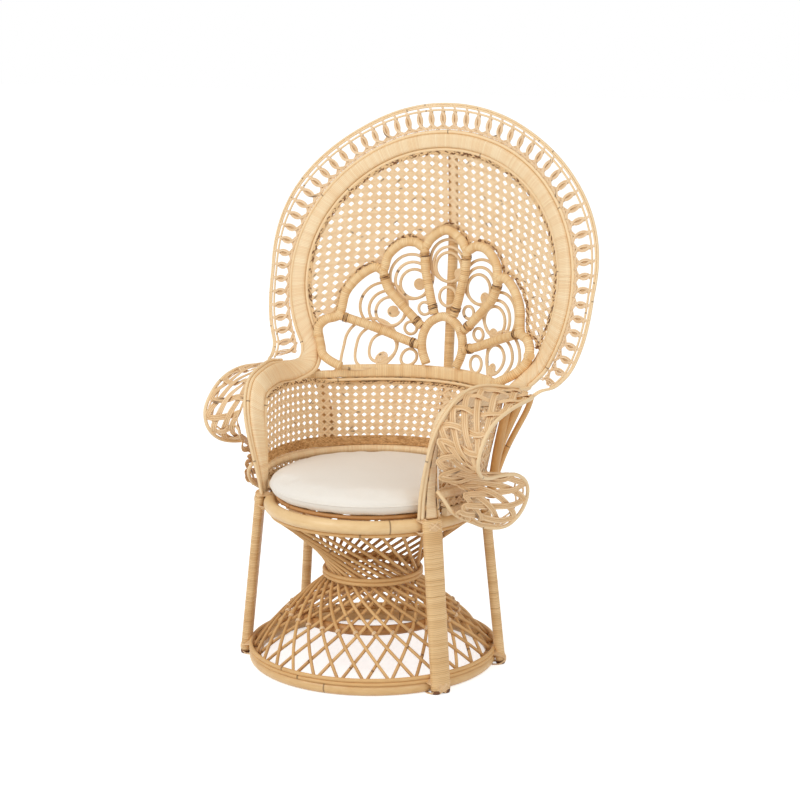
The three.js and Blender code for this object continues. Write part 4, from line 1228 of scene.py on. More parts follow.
def leg_path(angle, sideways, low, high, count):
    heights = np.linspace(low, high, count)
    slope = (LEG_HIGH_REACH - LEG_LOW_REACH) / (SEAT_RING_HEIGHT - BASE_POLE_RADIUS)
    reach = LEG_LOW_REACH + (heights - BASE_POLE_RADIUS) * slope
    x = reach * math.cos(angle) - sideways * math.sin(angle)
    y = reach * math.sin(angle) + sideways * math.cos(angle)
    return np.stack([x, y, heights], axis=1)


def add_legs():
    """The front legs are pairs of poles under one wrapping, and the rear legs are single ones."""
    wrapped_legs = Pile()
    tips = Pile()
    lashings = Pile()
    legs = ((FRONT_LEG_ANGLE, 2, PAIR_SQUARENESS), (REAR_LEG_ANGLE, 1, SINGLE_SQUARENESS))
    for mirror in (1, -1):
        flip = np.array([mirror, 1, 1])
        for angle, poles, squareness in legs:
            outline = slab_outline(2 * LEG_RADIUS * poles, 2 * LEG_RADIUS, LEG_SIDES, squareness)
            path = leg_path(angle, 0, LEG_TIP, LEG_TOP, LEG_STATIONS) * flip
            facing = np.array([math.cos(angle) * mirror, math.sin(angle), 0.0])
            wrapped_legs.sweep(path, facing, outline)
            for number in range(poles):
                sideways = (number - (poles - 1) / 2) * 2 * LEG_APART
                foot = leg_path(angle, sideways, TIP_GAP, LEG_TIP, len(TIP_GROW_SHARES)) * flip
                tips.tube(foot, LEG_RADIUS * TIP_SHARE, POST_SIDES, up=FORWARD, grow=TIP_GROW_SHARES)
            lash_leg(lashings, angle, mirror, poles)
    names = [f"{side}_{leg}" for side in ("right", "left")
             for leg in ("front_leg_fore_pole", "front_leg_aft_pole", "rear_leg")]
    wrapped_legs.piece("leg_poles", leg_wrap, names)
    tips.piece("leg_tips", nail_brown)
    lashings.piece("leg_lashings", shell_strand)


def lash_leg(pile, angle, mirror, poles):
    """Crossed turns that hold a leg to the base ring and to the seat ring."""
    flip = np.array([mirror, 1, 1])
    wide = LEG_RADIUS * poles + LASH_SIDE_REACH
    holds = ((BASE_POLE_RADIUS, BASE_RING_RADIUS, BASE_POLE_RADIUS),
             (SEAT_RING_HEIGHT, SEAT_RING_RADIUS, SEAT_POLE_RADIUS))
    turn = np.linspace(0, 2 * math.pi, LASH_STATIONS + 1)[:-1, None]
    strand = strand_outline(LASH_WIDTH, LASH_THICKNESS)
    for height, ring_radius, ring_pole_radius in holds:
        middle = leg_path(angle, 0, height, height, 1)[0]
        out = unit(middle * LEVEL)
        side = np.cross(UP, out)
        inside = ring_radius - ring_pole_radius
        outside = np.linalg.norm(middle[:2]) + LEG_RADIUS
        centre = out * (inside + outside) / 2 + UP * height
        reach = (outside - inside) / 2 + LASH_REACH
        for slant in (-1, 1):
            slanted = side * wide * slant + UP * (ring_pole_radius + LASH_END_REACH)
            loop = centre + np.cos(turn) * out * reach + np.sin(turn) * slanted
            for number in LASH_TURNS:
                path = loop + number * LASH_PITCH * unit(side * -slant + UP)
                path[:, 2] = np.maximum(path[:, 2], LASH_LOWEST)
                pile.sweep(path * flip, unit((path - centre) * flip), strand, closed=True)


# Hoop, arms and lace


def band_edges():
    """The whole band's outer and inner edge: up the right arm, over the hoop and down the left arm."""
    outer, inner = arm_edges(np.linspace(1, 0, ARM_STATIONS))
    share = np.linspace(0, 1, HOOP_STATIONS)[HOOP_TRIM:-HOOP_TRIM]
    hoop_outer = on_hoop(hoop_angle(share, HOOP_END, HOOP_CORNER - HOOP_END), 0)
    hoop_inner = on_hoop(hoop_angle(share, HOOP_END, 0), -BAND_WIDTH)
    outer = np.vstack([outer, hoop_outer, mirrored(outer)[::-1]])
    inner = np.vstack([inner, hoop_inner, mirrored(inner)[::-1]])
    both = softened(steady(np.hstack([outer, inner]), BAND_SPACING), BAND_SOFTENING)
    return both[:, :3], both[:, 3:]


def band_nodes(kind):
    return [f"{part}_{kind}" for part in BAND_PARTS]


def add_outer_beads(edge, front):
    """A bead along the band's outer edge, and a second, thinner one along each arm."""
    beads = Pile()
    out = unit(np.cross(front, tangents(edge)))
    path = edge + out * BEAD_OFFSET + front * OUTER_BEAD_FORWARD
    beads.tube(path, BEAD_RADIUS, BEAD_SIDES, up=front, tint=BEAD_TINT)
    on_arms = np.abs(np.arange(len(edge)) - len(edge) / 2) > len(edge) * SECOND_BEAD_SHARE
    for picked in (on_arms & (edge[:, 0] > 0), on_arms & (edge[:, 0] < 0)):
        path = (edge + out * SECOND_BEAD_OFFSET)[picked]
        beads.tube(path, SECOND_BEAD_RADIUS, up=front[picked], tint=SECOND_BEAD_TINT)
    beads.piece("band_outer_beads", pale_rod, band_nodes("outer_bead"))


def add_band():
    outer, inner = band_edges()
    middle = (outer + inner) / 2
    across = outer - inner
    front = unit(np.cross(tangents(middle), across))
    band = Pile()
    slab = slab_outline(BAND_WIDTH + BAND_OVERLAP, BAND_THICKNESS, BAND_SIDES, BAND_SQUARENESS)
    rows = middle[:, None] - slab[:, :1] * across[:, None] / BAND_WIDTH + slab[:, 1:] * front[:, None]
    band.add(rows, tint=RIM_TINT)
    band.piece("band_wrapped", band_wrap, band_nodes("band"))
    add_outer_beads(outer, front)
    out = unit(np.cross(front, tangents(inner)))
    path = inner - out * BEAD_OFFSET + front * INNER_BEAD_FORWARD
    add_tube("band_inner_bead", pale_rod, band_nodes("inner_bead"), path, BEAD_RADIUS, BEAD_SIDES,
             front, tint=ROD_TINT)
    # Painted shade: thin dark lines in the creases where the beads meet the band.
    lines = Pile()
    for edge, radius in ((outer, OUTER_LINE_RADIUS), (inner, INNER_LINE_RADIUS)):
        lines.tube(edge + front * EDGE_LINE_FORWARD, radius, LINE_SIDES, up=front)
    lines.piece("band_edge_shade_lines", stain_and_shade)


def lace_angle(share, offset):
    """The lace's foot runs further down than its rim, so its ends slant."""
    low = 1 - np.clip(np.asarray(offset, float) / RIM_ROD_OFFSETS[0], 0, 1)
    return hoop_angle(share, LACE_END, (LACE_FOOT_END - LACE_END) * low)


def lace_flat(share, offset):
    return hoop_flat(lace_angle(share, offset), offset)


def loop_places():
    """Shares of the way round at which loops of even width stand, and the share that one takes."""
    share = np.linspace(0, 1, LACE_RUN_STATIONS)
    run = run_of(on_back(*lace_flat(share, np.full(LACE_RUN_STATIONS, float(LACE_LOOP_OFFSET)))))
    count = int(round(run[-1] / LACE_LOOP_SPACING))
    edges = np.interp(np.linspace(0, run[-1], count + 1), run, share)
    return (edges[:-1] + edges[1:]) / 2, np.diff(edges)


def add_lace():
    shares = np.linspace(0, 1, LACE_STATIONS)
    rim = Pile()
    for number, offset in enumerate(RIM_ROD_OFFSETS):
        end = np.array(LACE_END_TURN, float) - number * np.array(RIM_END_STEP)
        path = np.vstack([end[::-1], on_back(*lace_flat(shares, offset)), mirrored(end)])
        path = softened(steady(path, RIM_ROD_SPACING), RIM_ROD_SOFTENING)
        rim.tube(path, RIM_ROD_RADIUS, up=FORWARD, tint=ROD_TINT)
    rim.piece("lace_rim_rods", pale_rod, ["lace_outer_rod"])
    path = on_back(*lace_flat(shares, SLIT_ROD_OFFSET))
    add_tube("lace_slit_rod", pale_rod, "lace_inner_rod", path, SLIT_ROD_RADIUS, up=FORWARD,
             tint=RIM_TINT)
    add_lace_loops()


def add_lace_loops():
    """Each loop's two bundles cross near the foot, bow apart and cross again at the slit rod."""
    loops = Pile()
    filling = Pile()
    curve = smooth_flat(LACE_LOOP_SHARES, LOOP_STATIONS)
    offset = LACE_LOW_OFFSET + curve[:, 1] * (LACE_HIGH_OFFSET - LACE_LOW_OFFSET)
    lift = LACE_LIFT * np.cos(curve[:, 1] * math.pi)
    straight = np.linspace(LACE_FOOT_OFFSET, LACE_HIGH_OFFSET, FILLING_STATIONS)
    behind = np.full(FILLING_STATIONS, FILLING_LAYER)
    for middle, pitch in zip(*loop_places()):
        for lean in (-1, 1):
            place = np.clip(middle + lean * curve[:, 0] * pitch, 0, 1)
            add_bundle(loops, lace_flat(place, offset), lift * lean, 2)
        add_bundle(filling, lace_flat(np.full(FILLING_STATIONS, middle), straight), behind, FILLING_STRANDS)
        add_slit_ties(loops, middle, pitch)
    flat = lace_flat(np.linspace(0, 1, LACE_FOOT_STATIONS), LACE_FOOT_OFFSET)
    braid(loops, on_back(*flat), -back_normal(*flat), LACE_FOOT_WIDTH)
    loops.piece("lace_loops", lace_strand, ["lace_strand"])
    filling.piece("lace_fillings", lace_shade)


def add_slit_ties(pile, middle, pitch):
    """Two leaning strands from the slit rod to the rim."""
    at = middle + np.linspace(-SLIT_TIE_LEAN_SHARE, SLIT_TIE_LEAN_SHARE, SLIT_TIE_STATIONS) * pitch
    flat = lace_flat(at, np.linspace(SLIT_TIE_START, SLIT_TIE_END, SLIT_TIE_STATIONS))
    normal = -back_normal(*flat)
    across = unit(np.cross(tangents(on_back(*flat)), normal))
    for side in (-1, 1):
        path = on_back(*flat, SLIT_TIE_BEHIND) + across * side * SLIT_TIE_APART
        pile.sweep(path, normal, strand_outline(SLIT_TIE_WIDTH, SLIT_TIE_THICKNESS))


def add_bundle(pile, flat, lift, strands):
    """Strands side by side along a path on the back's plane."""
    flat = np.stack(flat, axis=1)
    along = tangents(flat)
    side = np.stack([-along[:, 1], along[:, 0]], axis=1)
    for strand in range(strands):
        path = flat + side * (strand - (strands - 1) / 2) * LACE_STRAND_PITCH
        normal = -back_normal(path[:, 0], path[:, 1])
        place = on_back(path[:, 0], path[:, 1]) + normal * lift[:, None]
        pile.sweep(place, normal, strand_outline(LACE_STRAND_WIDTH, LACE_STRAND_THICKNESS))


# Arm shells


def shell_edges(shares):
    """The right shell's inner edge and rim."""
    seats = np.array(SHELL_SEAT_SHARES)
    outer, inner = arm_edges(seats)
    along = unit(arm_edges(seats + SHARE_STEP)[0] - arm_edges(seats - SHARE_STEP)[0])
    out = outer - inner
    out = unit(out - along * np.sum(out * along, axis=1, keepdims=True))
    bead = outer + out * ARM_BEAD_REACH
    rim_points = on_arm(SHELL_RIM_SHARES)
    towards = smooth(rim_points, np.arange(len(seats)) / (len(SHELL_RIM_SHARES) - 1)) - bead
    seat = bead + unit(towards) * SHELL_GAP
    inner_points = np.vstack([seat, on_arm(SHELL_INNER_SHARES)])
    return smooth(inner_points, shares), smooth(rim_points, shares)


def shell_surface(u, v):
    inner, rim = shell_edges(u)
    return inner + (rim - inner) * np.asarray(v)[:, None]


def shell_normal(u, v):
    step = 2 * SHARE_STEP
    along = shell_surface(np.clip(u + step, 0, 1), v) - shell_surface(np.clip(u - step, 0, 1), v)
    inner, rim = shell_edges(u)
    return unit(np.cross(along, rim - inner))


def shell_strands():
    """The right shell's strands: each one's path and its normals."""
    u = np.linspace(0, 1, SHELL_STATIONS)
    lap = np.cos(2 * math.pi * SHELL_WAVES * u / SHELL_PERIOD_SHARE)
    for wave in range(SHELL_WAVES):
        phase = 2 * math.pi * (u / SHELL_PERIOD_SHARE + wave / SHELL_WAVES)
        slope = 1 - np.abs((phase / math.pi) % 2 - 1)
        v = SHELL_STRAIGHTNESS * slope + (1 - SHELL_STRAIGHTNESS) * (0.5 - 0.5 * np.cos(phase))
        normal = shell_normal(u, v)
        lift = SHELL_LIFT * np.clip(2 * np.sin(phase), -1, 1) * lap
        path = shell_surface(u, v) + normal * lift[:, None]
        sideways = unit(np.cross(tangents(path), normal))
        for strand in range(SHELL_STRANDS):
            yield path + sideways * (strand - (SHELL_STRANDS - 1) / 2) * SHELL_STRAND_PITCH, normal
    for number, share in enumerate(SHELL_RUNNER_SHARES):
        v = share + RUNNER_SWAY_SHARE * np.sin(4 * math.pi * u / SHELL_PERIOD_SHARE + number * math.pi)
        normal = shell_normal(u, v)
        yield shell_surface(u, v) - normal * SHELL_LIFT, normal


def shell_rim():
    """The right shell's rim rod, with its tail down to the arm."""
    inner, outer = shell_edges(np.linspace(0, 1, RIM_STATIONS))
    edge = outer + unit(outer - inner) * (RIM_CLEARANCE + RIM_RADIUS)
    tail = smooth(np.vstack([edge[-1:], on_arm(RIM_TAIL_SHARES)]), np.linspace(0, 1, RIM_TAIL_STATIONS))
    return softened(steady(np.vstack([edge, tail[1:]]), RIM_SPACING), RIM_SOFTENING)


def add_shells():
    strand = strand_outline(SHELL_STRAND_WIDTH, SHELL_STRAND_THICKNESS)
    for side, mirror in SIDES:
        flip = np.array([mirror, 1, 1])
        weave = Pile()
        for path, normal in shell_strands():
            weave.sweep(path * flip, normal * flip, strand)
        weave.piece(f"{side}_shell_weave", shell_strand, [f"{side}_arm_shell"])
        add_tube(f"{side}_shell_rim_rod", pale_rod, f"{side}_shell_rim", shell_rim() * flip,
                 RIM_RADIUS, BEAD_SIDES, tint=RIM_TINT)


# Bar, motif and scrolls


def add_bar():
    """The bar reaches into the arms' corners, with a step down on the way."""
    x = np.linspace(-BAR_REACH, BAR_REACH, BAR_STATIONS)
    taper = np.clip((np.abs(x) - BAR_STEP_PLACE) / BAR_STEP_LENGTH, 0, 1) * BAR_STEP
    middle = on_bar(x, (BAR_BOTTOM + BAR_TOP - taper) / 2)
    front = -back_normal(x, np.full(len(x), float(BAR_BOTTOM)))
    height = BAR_TOP - BAR_BOTTOM
    grow = np.stack([(height - taper) / height, np.ones(len(x))], axis=1)
    bar = Pile()
    outline = slab_outline(height, BAR_THICKNESS + BAR_SWELL, BAR_SIDES, BAR_SQUARENESS)
    bar.sweep(middle, front, outline, tint=BAR_TINT, grow=grow)
    bar.piece("back_bar_wrapped", bar_wrap, ["back_bar"])
    path = on_bar(x, BAR_BOTTOM - BAR_BEAD_RADIUS - BAR_BEAD_GAP) + front * BAR_BEAD_FORWARD
    add_tube("back_bar_rod", pale_rod, "back_bar_bead", path, BAR_BEAD_RADIUS, BEAD_SIDES,
             tint=ROD_TINT)
    # Painted shade in the crease between the bar and its rod, and under the rod.
    line = Pile()
    for below, forward, radius in BAR_SHADE_LINES:
        line.tube(on_bar(x, BAR_BOTTOM - below) + front * forward, radius, LINE_SIDES)
    line.piece("back_bar_shade_lines", stain_and_shade)


def motif_flat(shares):
    return np.asarray(shares, float) * np.array([MOTIF_HALF_WIDTH, MOTIF_RISE]) + np.array([0, BAR_TOP])


def motif_path(shares, both_sides):
    """A path on the motif: through the right half's places alone, or through both halves."""
    flat = motif_flat(shares)
    places = on_motif(flat[:, 0], flat[:, 1])
    if both_sides:
        places = np.vstack([mirrored(places)[::-1], places[1:]])
    return steady(smooth(places, np.linspace(0, 1, MOTIF_FINENESS * len(places))), MOTIF_SPACING)


def add_motif():
    poles = Pile()
    lashings = Pile()
    for shares in (PETAL_SHARES + PETAL_TAIL_SHARES, ARCH_SHARES):
        poles.tube(motif_path(shares, True), FRAME_RADIUS, POLE_SIDES, up=BACKWARD)
    for shares in SPOKE_SHARES:
        path = motif_path(shares, False)
        for spoke in (path, mirrored(path)):
            poles.tube(spoke, FRAME_RADIUS, POLE_SIDES, up=BACKWARD)
            for end, step in LASHING_STEPS:
                along = unit(spoke[step] - spoke[end])
                winding(lashings, spoke[step], along, FORWARD, FRAME_RADIUS + LASHING_REACH, LASHING_TURNS,
                        LASHING_PITCH, LASHING_RADIUS)
    stub = on_motif(np.linspace(*STUB_REACH, STUB_STATIONS), np.full(STUB_STATIONS, float(STUB_HEIGHT)))
    for path in (stub, mirrored(stub)):
        poles.tube(path, STUB_RADIUS, POLE_SIDES, up=BACKWARD)
    poles.piece("motif_poles", motif_wrap, ["petal_frame"])
    lashings.piece("motif_lashings", stain_and_shade)


def circle_on_motif(x, z, radius, turn, behind):
    return on_motif(x + radius * np.cos(turn), z + radius * np.sin(turn), behind)


def add_scroll(name, side, mirror):
    tilt, near, fars, (ring_x, ring_z, ring_radius), right_eye, left_eye = SCROLLS[name]
    tilt = math.radians(tilt)
    scroll = Pile()
    for number, far in enumerate(fars):
        middle = (near + far) / 2
        x = mirror * middle * math.cos(tilt)
        z = SCROLL_CENTRE + middle * math.sin(tilt)
        behind = SCROLL_BEHIND + number * SCROLL_STEP
        path = circle_on_motif(x, z, (far - near) / 2 - SCROLL_RADIUS, turns_of(CIRCLE_STATIONS), behind)
        scroll.tube(path, SCROLL_RADIUS, up=BACKWARD, closed=True)
    radius = ring_radius - SCROLL_RADIUS
    turn = turns_of(SMALL_CIRCLE_STATIONS)
    path = circle_on_motif(mirror * ring_x, ring_z, radius, turn, SCROLL_BEHIND)
    scroll.tube(path, SCROLL_RADIUS, up=BACKWARD, closed=True)
    eye_x, eye_z = right_eye if mirror > 0 else left_eye
    turn = np.linspace(EYE_START, EYE_TURNS * 2 * math.pi, EYE_TURNS * EYE_TURN_STATIONS)
    radius = (EYE_RADIUS - EYE_ROD_RADIUS) * turn / turn[-1]
    path = circle_on_motif(eye_x, eye_z, radius, turn, SCROLL_BEHIND - EYE_FORWARD)
    scroll.tube(path, EYE_ROD_RADIUS, up=BACKWARD)
    node = f"{side}_{name}_scroll" if side else "centre_scroll"
    scroll.piece(f"{node}_rods", scroll_rod, [node])


def add_scrolls():
    for side, mirror in SIDES:
        for name in ("outer", "middle", "inner"):
            add_scroll(name, side, mirror)
    add_scroll("centre", "", 1)


# Cane


def star_reach(outline, angles):
    """How far an outline lies from the scrolls' centre, by angle."""
    x = outline[:, 0]
    z = outline[:, 1] - SCROLL_CENTRE
    bearing = np.arctan2(z, x)
    order = np.argsort(bearing)
    return np.interp(angles, bearing[order], np.hypot(x, z)[order])


class UpperPanel:
    """The cane between the motif and the hoop, told by x and z."""

    def __init__(self):
        flat = motif_flat(PETAL_SHARES + PETAL_TAIL_SHARES[:3])
        flat = flat + unit(flat - np.array([0, BAR_TOP])) * PANEL_LAP
        whole = np.vstack([(flat * np.array([-1, 1]))[::-1], flat[1:]])
        self.inner = smooth_flat(whole, PANEL_STATIONS)
        angles = hoop_angles(HOOP_END, PANEL_STATIONS)
        self.outer = np.stack(hoop_flat(angles, PANEL_HOOP_OFFSET + PANEL_OVERLAP), axis=1)

    def reaches(self, x, z):
        """How far the inner edge, the outer edge and the place itself lie from the scrolls' centre."""
        bearing = np.arctan2(z - SCROLL_CENTRE, x)
        here = np.hypot(x, z - SCROLL_CENTRE)
        return star_reach(self.inner, bearing), star_reach(self.outer, bearing), here

    def inside(self, x, z):
        near, far, here = self.reaches(x, z)
        return np.where(z > SCROLL_CENTRE, np.minimum(here - near, far - here), -1.0)

    def place(self, x, z, lift):
        near, far, here = self.reaches(x, z)
        share = np.clip((here - near) / np.maximum(far - near, 1), 0, 1)
        layer = (PANEL_LAYER - FRAME_FORWARD * (x / MOTIF_HALF_WIDTH) ** 2) * (1 - share)
        return on_back(x, z, layer - lift), -back_normal(x, z)


def runs(inside):
    """The first and last index of each stretch that lies inside."""
    edges = np.flatnonzero(np.diff(np.concatenate([[0], (inside > 0).astype(int), [0]])))
    return list(zip(edges[::2], edges[1::2] - 1))


def cut(places, inside, near, past):
    """Where the way from a place inside to the next one outside meets the edge."""
    share = inside[near] / (inside[near] - inside[past])
    return places[near] + (places[past] - places[near]) * share


def clipped(x, z, inside):
    """The stretches of a strand that lie inside, with their ends cut at the edge."""
    places = np.stack([x, z], axis=1)
    for first, last in runs(inside):
        part = places[first:last + 1]
        if first > 0:
            part = np.vstack([cut(places, inside, first, first - 1), part])
        if last < len(x) - 1:
            part = np.vstack([part, cut(places, inside, last, last + 1)])
        if len(part) > 2:
            yield part[:, 0], part[:, 1]


def cane_lines(half_width, low, high):
    """Strand lines of the three-way weave: x, z, width, layer, and the sign of the lift at the crossings.

    The rows are level where they are highest, and bend down to both sides of that."""
    x = np.arange(-half_width, half_width + CANE_PITCH_X / 4, CANE_PITCH_X / 4)
    drop = CANE_ROW_BEND * (x - CANE_TOP_X) ** 2
    high += drop.max()
    for row in range(int((high - low) / CANE_PITCH_Z) + 1):
        z = low + (row + 0.5) * CANE_PITCH_Z - drop
        for side in (-1, 1):
            yield x, z + side * LEVEL_STRAND_OFFSET, LEVEL_STRAND_WIDTH, 0, 0
    upright = np.arange(low - drop.max(), high, CANE_PITCH_Z / 2)
    for column in range(int(2 * half_width / CANE_PITCH_X) + 1):
        middle = np.full(len(upright), (column + 0.5) * CANE_PITCH_X - half_width)
        yield middle, upright, UPRIGHT_STRAND_WIDTH, UPRIGHT_STRAND_LAYER, 0
    slope = CANE_PITCH_Z / CANE_PITCH_X
    spare = 2 * half_width * slope
    apart = SLANT_STRAND_OFFSET * math.hypot(1, slope)
    for lean in (-1, 1):
        first = low - (spare if lean > 0 else 0)
        for row in range(int((high - low + spare) / CANE_PITCH_Z) + 1):
            z = first + (row + 0.5) * CANE_PITCH_Z + (x + half_width) * slope * lean - drop
            for side in (-1, 1):
                yield x, z + side * apart, SLANT_STRAND_WIDTH, 0, lean


def add_upper_cane():
    panel = UpperPanel()
    weave = Pile()
    for x, z, width, layer, lean in cane_lines(UPPER_HALF_COLUMNS * CANE_PITCH_X, BAR_TOP, TOTAL_HEIGHT):
        for part_x, part_z in clipped(x, z, panel.inside(x, z)):
            lift = layer + CANE_LIFT * lean * np.cos(part_x / CANE_PITCH_X * math.pi)
            path, normal = panel.place(part_x, part_z, lift)
            weave.sweep(path, normal, strand_outline(width, CANE_THICKNESS))
    weave.piece("upper_cane", cane_strand, ["back_panel"])
    edging = Pile()
    along_hoop = hoop_flat(hoop_angles(EDGING_END, EDGING_STATIONS), HOOP_EDGING_OFFSET)
    inner = steady(panel.inner, EDGING_SPACING)
    along_motif = (inner + unit(inner - np.array([0, SCROLL_CENTRE])) * MOTIF_EDGING_OFFSET).T
    for (x, z), lift in ((along_hoop, HOOP_EDGING_LIFT), (along_motif, MOTIF_EDGING_LIFT)):
        braid(edging, *panel.place(x, z, lift), BRAID_WIDTH)
    edging.piece("upper_cane_edging", cane_edge)


def braid(pile, path, normal, width):
    """Strands plaited along a path."""
    both = steady(np.hstack([path, normal * BRAID_NORMAL_REACH]), BRAID_SPACING)
    path = both[:, :3]
    normal = unit(both[:, 3:])
    run = np.arange(len(path)) * BRAID_SPACING
    side = unit(np.cross(tangents(path), normal))
    for strand in range(BRAID_STRANDS):
        phase = (run / BRAID_PITCH + strand / BRAID_STRANDS) * 2 * math.pi
        sway = (np.sin(phase) * width / BRAID_STRANDS)[:, None]
        lift = (BRAID_LIFT * np.sin(2 * phase))[:, None]
        pile.sweep(path + side * sway + normal * lift, normal, strand_outline(BRAID_STRAND, BRAID_THICKNESS))


def lower_edges(shares):
    foot = around_axis(RAIL_RING_RADIUS, arch_angle(LOWER_END, shares), LOWER_FOOT)
    bars = on_bar(np.array(LOWER_BAR_SHARES) * BAR_HALF_WIDTH, LOWER_TOP)
    half = np.vstack([on_arm(LOWER_TOP_SHARES), bars])
    middle = on_bar(np.array([0.0]), LOWER_TOP)
    top = evenly(np.vstack([half, middle, mirrored(half)[::-1]]), shares)
    return foot, top


def lower_place(column, row, lift=0.0):
    """A place on the lower panel, counted in cells."""
    shares = np.clip(column / LOWER_COLUMNS, 0, 1)
    foot, top = lower_edges(shares)
    ahead = lower_edges(np.clip(shares + SHARE_STEP, 0, 1))[0]
    behind = lower_edges(np.clip(shares - SHARE_STEP, 0, 1))[0]
    normal = unit(np.cross(top - foot, ahead - behind))
    height = np.clip(row / LOWER_ROWS, 0, 1)[:, None]
    return foot + (top - foot) * height + normal * np.asarray(lift).reshape(-1, 1), normal


def lower_row(row, lift):
    """The whole of one row of the lower panel."""
    return lower_place(np.linspace(0, LOWER_COLUMNS, LOWER_STATIONS), np.full(LOWER_STATIONS, row), lift)


def lower_strands():
    """The lower panel's strands: each one's path, its normals and its width."""
    columns = np.arange(0, LOWER_COLUMNS + LOWER_STEP / 2, LOWER_STEP)
    for row in range(LOWER_ROWS):
        for side in (-1, 1):
            rows = np.full(len(columns), row + 0.5) + side * LEVEL_STRAND_OFFSET / LOWER_PITCH
            yield *lower_place(columns, rows), LEVEL_STRAND_WIDTH
    rows = np.arange(0, LOWER_ROWS + LOWER_STEP / 2, LOWER_STEP)
    for column in range(1, LOWER_COLUMNS):
        path, normal = lower_place(np.full(len(rows), float(column)), rows, UPRIGHT_STRAND_LAYER)
        yield path, normal, UPRIGHT_STRAND_WIDTH
    for lean in (-1, 1):
        for start in range(-LOWER_ROWS, LOWER_COLUMNS + LOWER_ROWS + 1):
            for side in (-1, 1):
                apart = side * SLANT_STRAND_OFFSET / LOWER_PITCH * LOWER_SLANT_SPREAD
                at = start + 0.5 + (rows - 0.5) * lean + apart
                kept = (at >= 0) & (at <= LOWER_COLUMNS)
                if kept.sum() > 2:
                    lift = CANE_LIFT * lean * np.cos(rows[kept] * math.pi)
                    yield *lower_place(at[kept], rows[kept], lift), SLANT_STRAND_WIDTH


def add_lower_edging():
    edging = Pile()
    for row in LOWER_BRAID_ROWS:
        braid(edging, *lower_row(row, LOWER_BRAID_LAYER), BRAID_WIDTH)
    edging.piece("lower_cane_edging", cane_edge)
    border = Pile()
    strip = strand_outline(LOWER_BORDER_WIDTH, CANE_THICKNESS)
    border.sweep(*lower_row(LOWER_BORDER_ROW, LOWER_BORDER_LAYER), strip)
    for row in BORDER_BRAID_ROWS:
        braid(border, *lower_row(row, BORDER_BRAID_LAYER), BRAID_WIDTH)
    border.piece("lower_cane_border", border_braid)


def add_lower_cane():
    weave = Pile()
    for path, normal, width in lower_strands():
        weave.sweep(path, normal, strand_outline(width, CANE_THICKNESS))
    weave.piece("lower_cane", cane_strand, ["lower_panel"])
    add_lower_edging()
    rail = Pile()
    low_rail = (RAIL_END, RAIL_RING_RADIUS, RAIL_HEIGHT)
    high_rail = (HIGH_RAIL_END, HIGH_RAIL_RING, HIGH_RAIL_HEIGHT)
    for end, ring, height in (low_rail, high_rail):
        path = around_axis(ring, arch_angle(end, np.linspace(0, 1, RAIL_STATIONS)), height)
        rail.tube(path, RAIL_RADIUS, POLE_SIDES, tint=RAIL_TINT)
    rail.piece("lower_rail_wrapped", band_wrap, ["lower_panel_rail"])


# Posts


def add_braces():
    braces = Pile()
    names = []
    for side, mirror in SIDES:
        for shares, radius, name in zip(BRACE_SHARES, BRACE_RADII, BRACE_NAMES):
            path = smooth(on_arm(shares), np.linspace(0, 1, BRACE_STATIONS)) * np.array([mirror, 1, 1])
            braces.tube(path, radius, POLE_SIDES, up=FORWARD)
            names.append(f"{side}_brace_{name}")
    braces.piece("brace_poles", post_pole, names)


def post_path():
    """The rear post runs behind the bar and the scrolls up to the hoop."""
    at_bar = on_bar(np.array([0.0]), BAR_TOP)[0, 1] + BAR_THICKNESS / 2 + POST_RADIUS + POST_GAP
    low = [
        (POST_FOOT_Y, POST_BOTTOM),
        (POST_FOOT_Y, RAIL_HEIGHT + RAIL_RADIUS),
        ((POST_FOOT_Y + at_bar) / 2, (RAIL_HEIGHT + BAR_BOTTOM) / 2),
        (at_bar, BAR_BOTTOM),
        (at_bar, BAR_TOP),
    ]
    foot = np.column_stack([np.zeros(len(low)), low])
    high = [BAR_TOP + MOTIF_RISE * POST_LEAN_SHARE, BAR_TOP + MOTIF_RISE]
    scrolls = on_motif(np.zeros(2), np.array(high), POST_BEHIND_SCROLLS)
    top_heights = [HOOP_CENTRE + BAND_RISE - BAND_WIDTH, HOOP_CENTRE + BAND_RISE]
    top = on_back(np.zeros(2), np.array(top_heights, float), POST_BEHIND_BAND)
    return steady(smooth(np.vstack([foot, scrolls, top]), np.linspace(0, 1, POST_STATIONS)), POST_SPACING)


def add_posts():
    add_braces()
    add_tube("centre_post_wrapped", leg_wrap, "centre_post", post_path(), POST_RADIUS, POST_SIDES,
             up=FORWARD, tint=POST_TINT)


# Camera, lights and floor


def glow_where_seen(shader, seen_strength):
    """seen_strength where the camera sees the surface, directly or in a reflection, and 0 elsewhere."""
    path = shader.node("ShaderNodeLightPath")
    seen = shader.maths("MAXIMUM", path.outputs["Is Camera Ray"], path.outputs["Is Glossy Ray"])
    seen = shader.maths("MAXIMUM", seen, path.outputs["Is Transmission Ray"])
    return shader.times(seen, seen_strength)


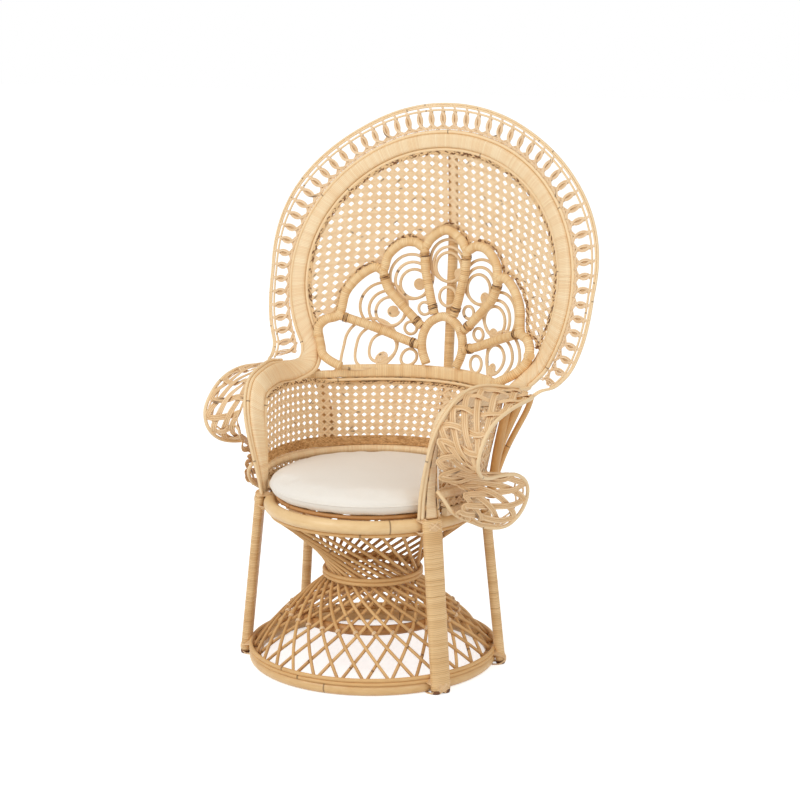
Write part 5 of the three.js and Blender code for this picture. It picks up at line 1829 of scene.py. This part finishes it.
def add_floor():
    shader = Shader("floor_paper", FLOOR_ROUGHNESS)
    place = shader.node("ShaderNodeTexCoord").outputs["Object"]
    tone = shader.noise(place, FLOOR_NOISE_SCALE)
    shader.link(shader.mix(tone, linear(*FLOOR_LIGHT), linear(*FLOOR_DARK)), "Base Color")
    shader.surface.inputs["Specular IOR Level"].default_value = 0
    shader.surface.inputs["Emission Color"].default_value = (1, 1, 1, 1)
    shader.link(glow_where_seen(shader, FLOOR_GLOW), "Emission Strength")
    mesh = bpy.data.meshes.new("floor")
    corners = [(x * FLOOR_REACH, y * FLOOR_REACH, 0) for x, y in ((-1, -1), (1, -1), (1, 1), (-1, 1))]
    mesh.from_pydata(corners, [], [(0, 1, 2, 3)])
    mesh.materials.append(shader.material)
    floor = placed("floor", mesh)


def add_world():
    world = bpy.data.worlds.new("studio")
    bpy.context.scene.world = world
    world.use_nodes = True
    tree = world.node_tree
    background = tree.nodes["Background"]
    background.inputs["Color"].default_value = (1, 1, 1, 1)
    path = tree.nodes.new("ShaderNodeLightPath")
    seen = tree.nodes.new("ShaderNodeMath")
    seen.operation = "MAXIMUM"
    tree.links.new(path.outputs["Is Camera Ray"], seen.inputs[0])
    tree.links.new(path.outputs["Is Transmission Ray"], seen.inputs[1])
    strength = tree.nodes.new("ShaderNodeMapRange")
    strength.inputs["To Min"].default_value = WORLD_STRENGTH
    tree.links.new(seen.outputs[0], strength.inputs["Value"])
    tree.links.new(strength.outputs[0], background.inputs["Strength"])


def turn_to(thing, direction):
    """Points a lamp or camera along a direction."""
    thing.rotation_euler = direction.to_track_quat("-Z", "Y").to_euler()


def add_lamp(name, place, power):
    lamp = bpy.data.lights.new(name, "AREA")
    lamp.shape = "DISK"
    lamp.size = LAMP_SIZE
    lamp.energy = power
    thing = placed(name, lamp)
    thing.location = place
    turn_to(thing, Vector(LAMP_AIM) - Vector(place))


def add_camera():
    camera = bpy.data.cameras.new("photo_view")
    camera.lens = LENS
    camera.sensor_width = SENSOR
    thing = placed("photo_view", camera)
    thing.location = (EYE[0], EYE[1] + CHAIR_MIDDLE_Y, EYE[2])
    level = math.cos(LOOK_DOWN)
    ahead = (-math.sin(LOOK_AZIMUTH) * level, math.cos(LOOK_AZIMUTH) * level, -math.sin(LOOK_DOWN))
    turn_to(thing, Vector(ahead))
    bpy.context.scene.camera = thing


add_pedestal()
add_seat()
add_cushion()
add_legs()
add_band()
add_lace()
add_shells()
add_bar()
add_motif()
add_scrolls()
add_upper_cane()
add_lower_cane()
add_posts()
add_floor()
add_world()
for lamp in LAMPS:
    add_lamp(*lamp)
add_camera()
bpy.context.scene.view_settings.view_transform = "Standard"
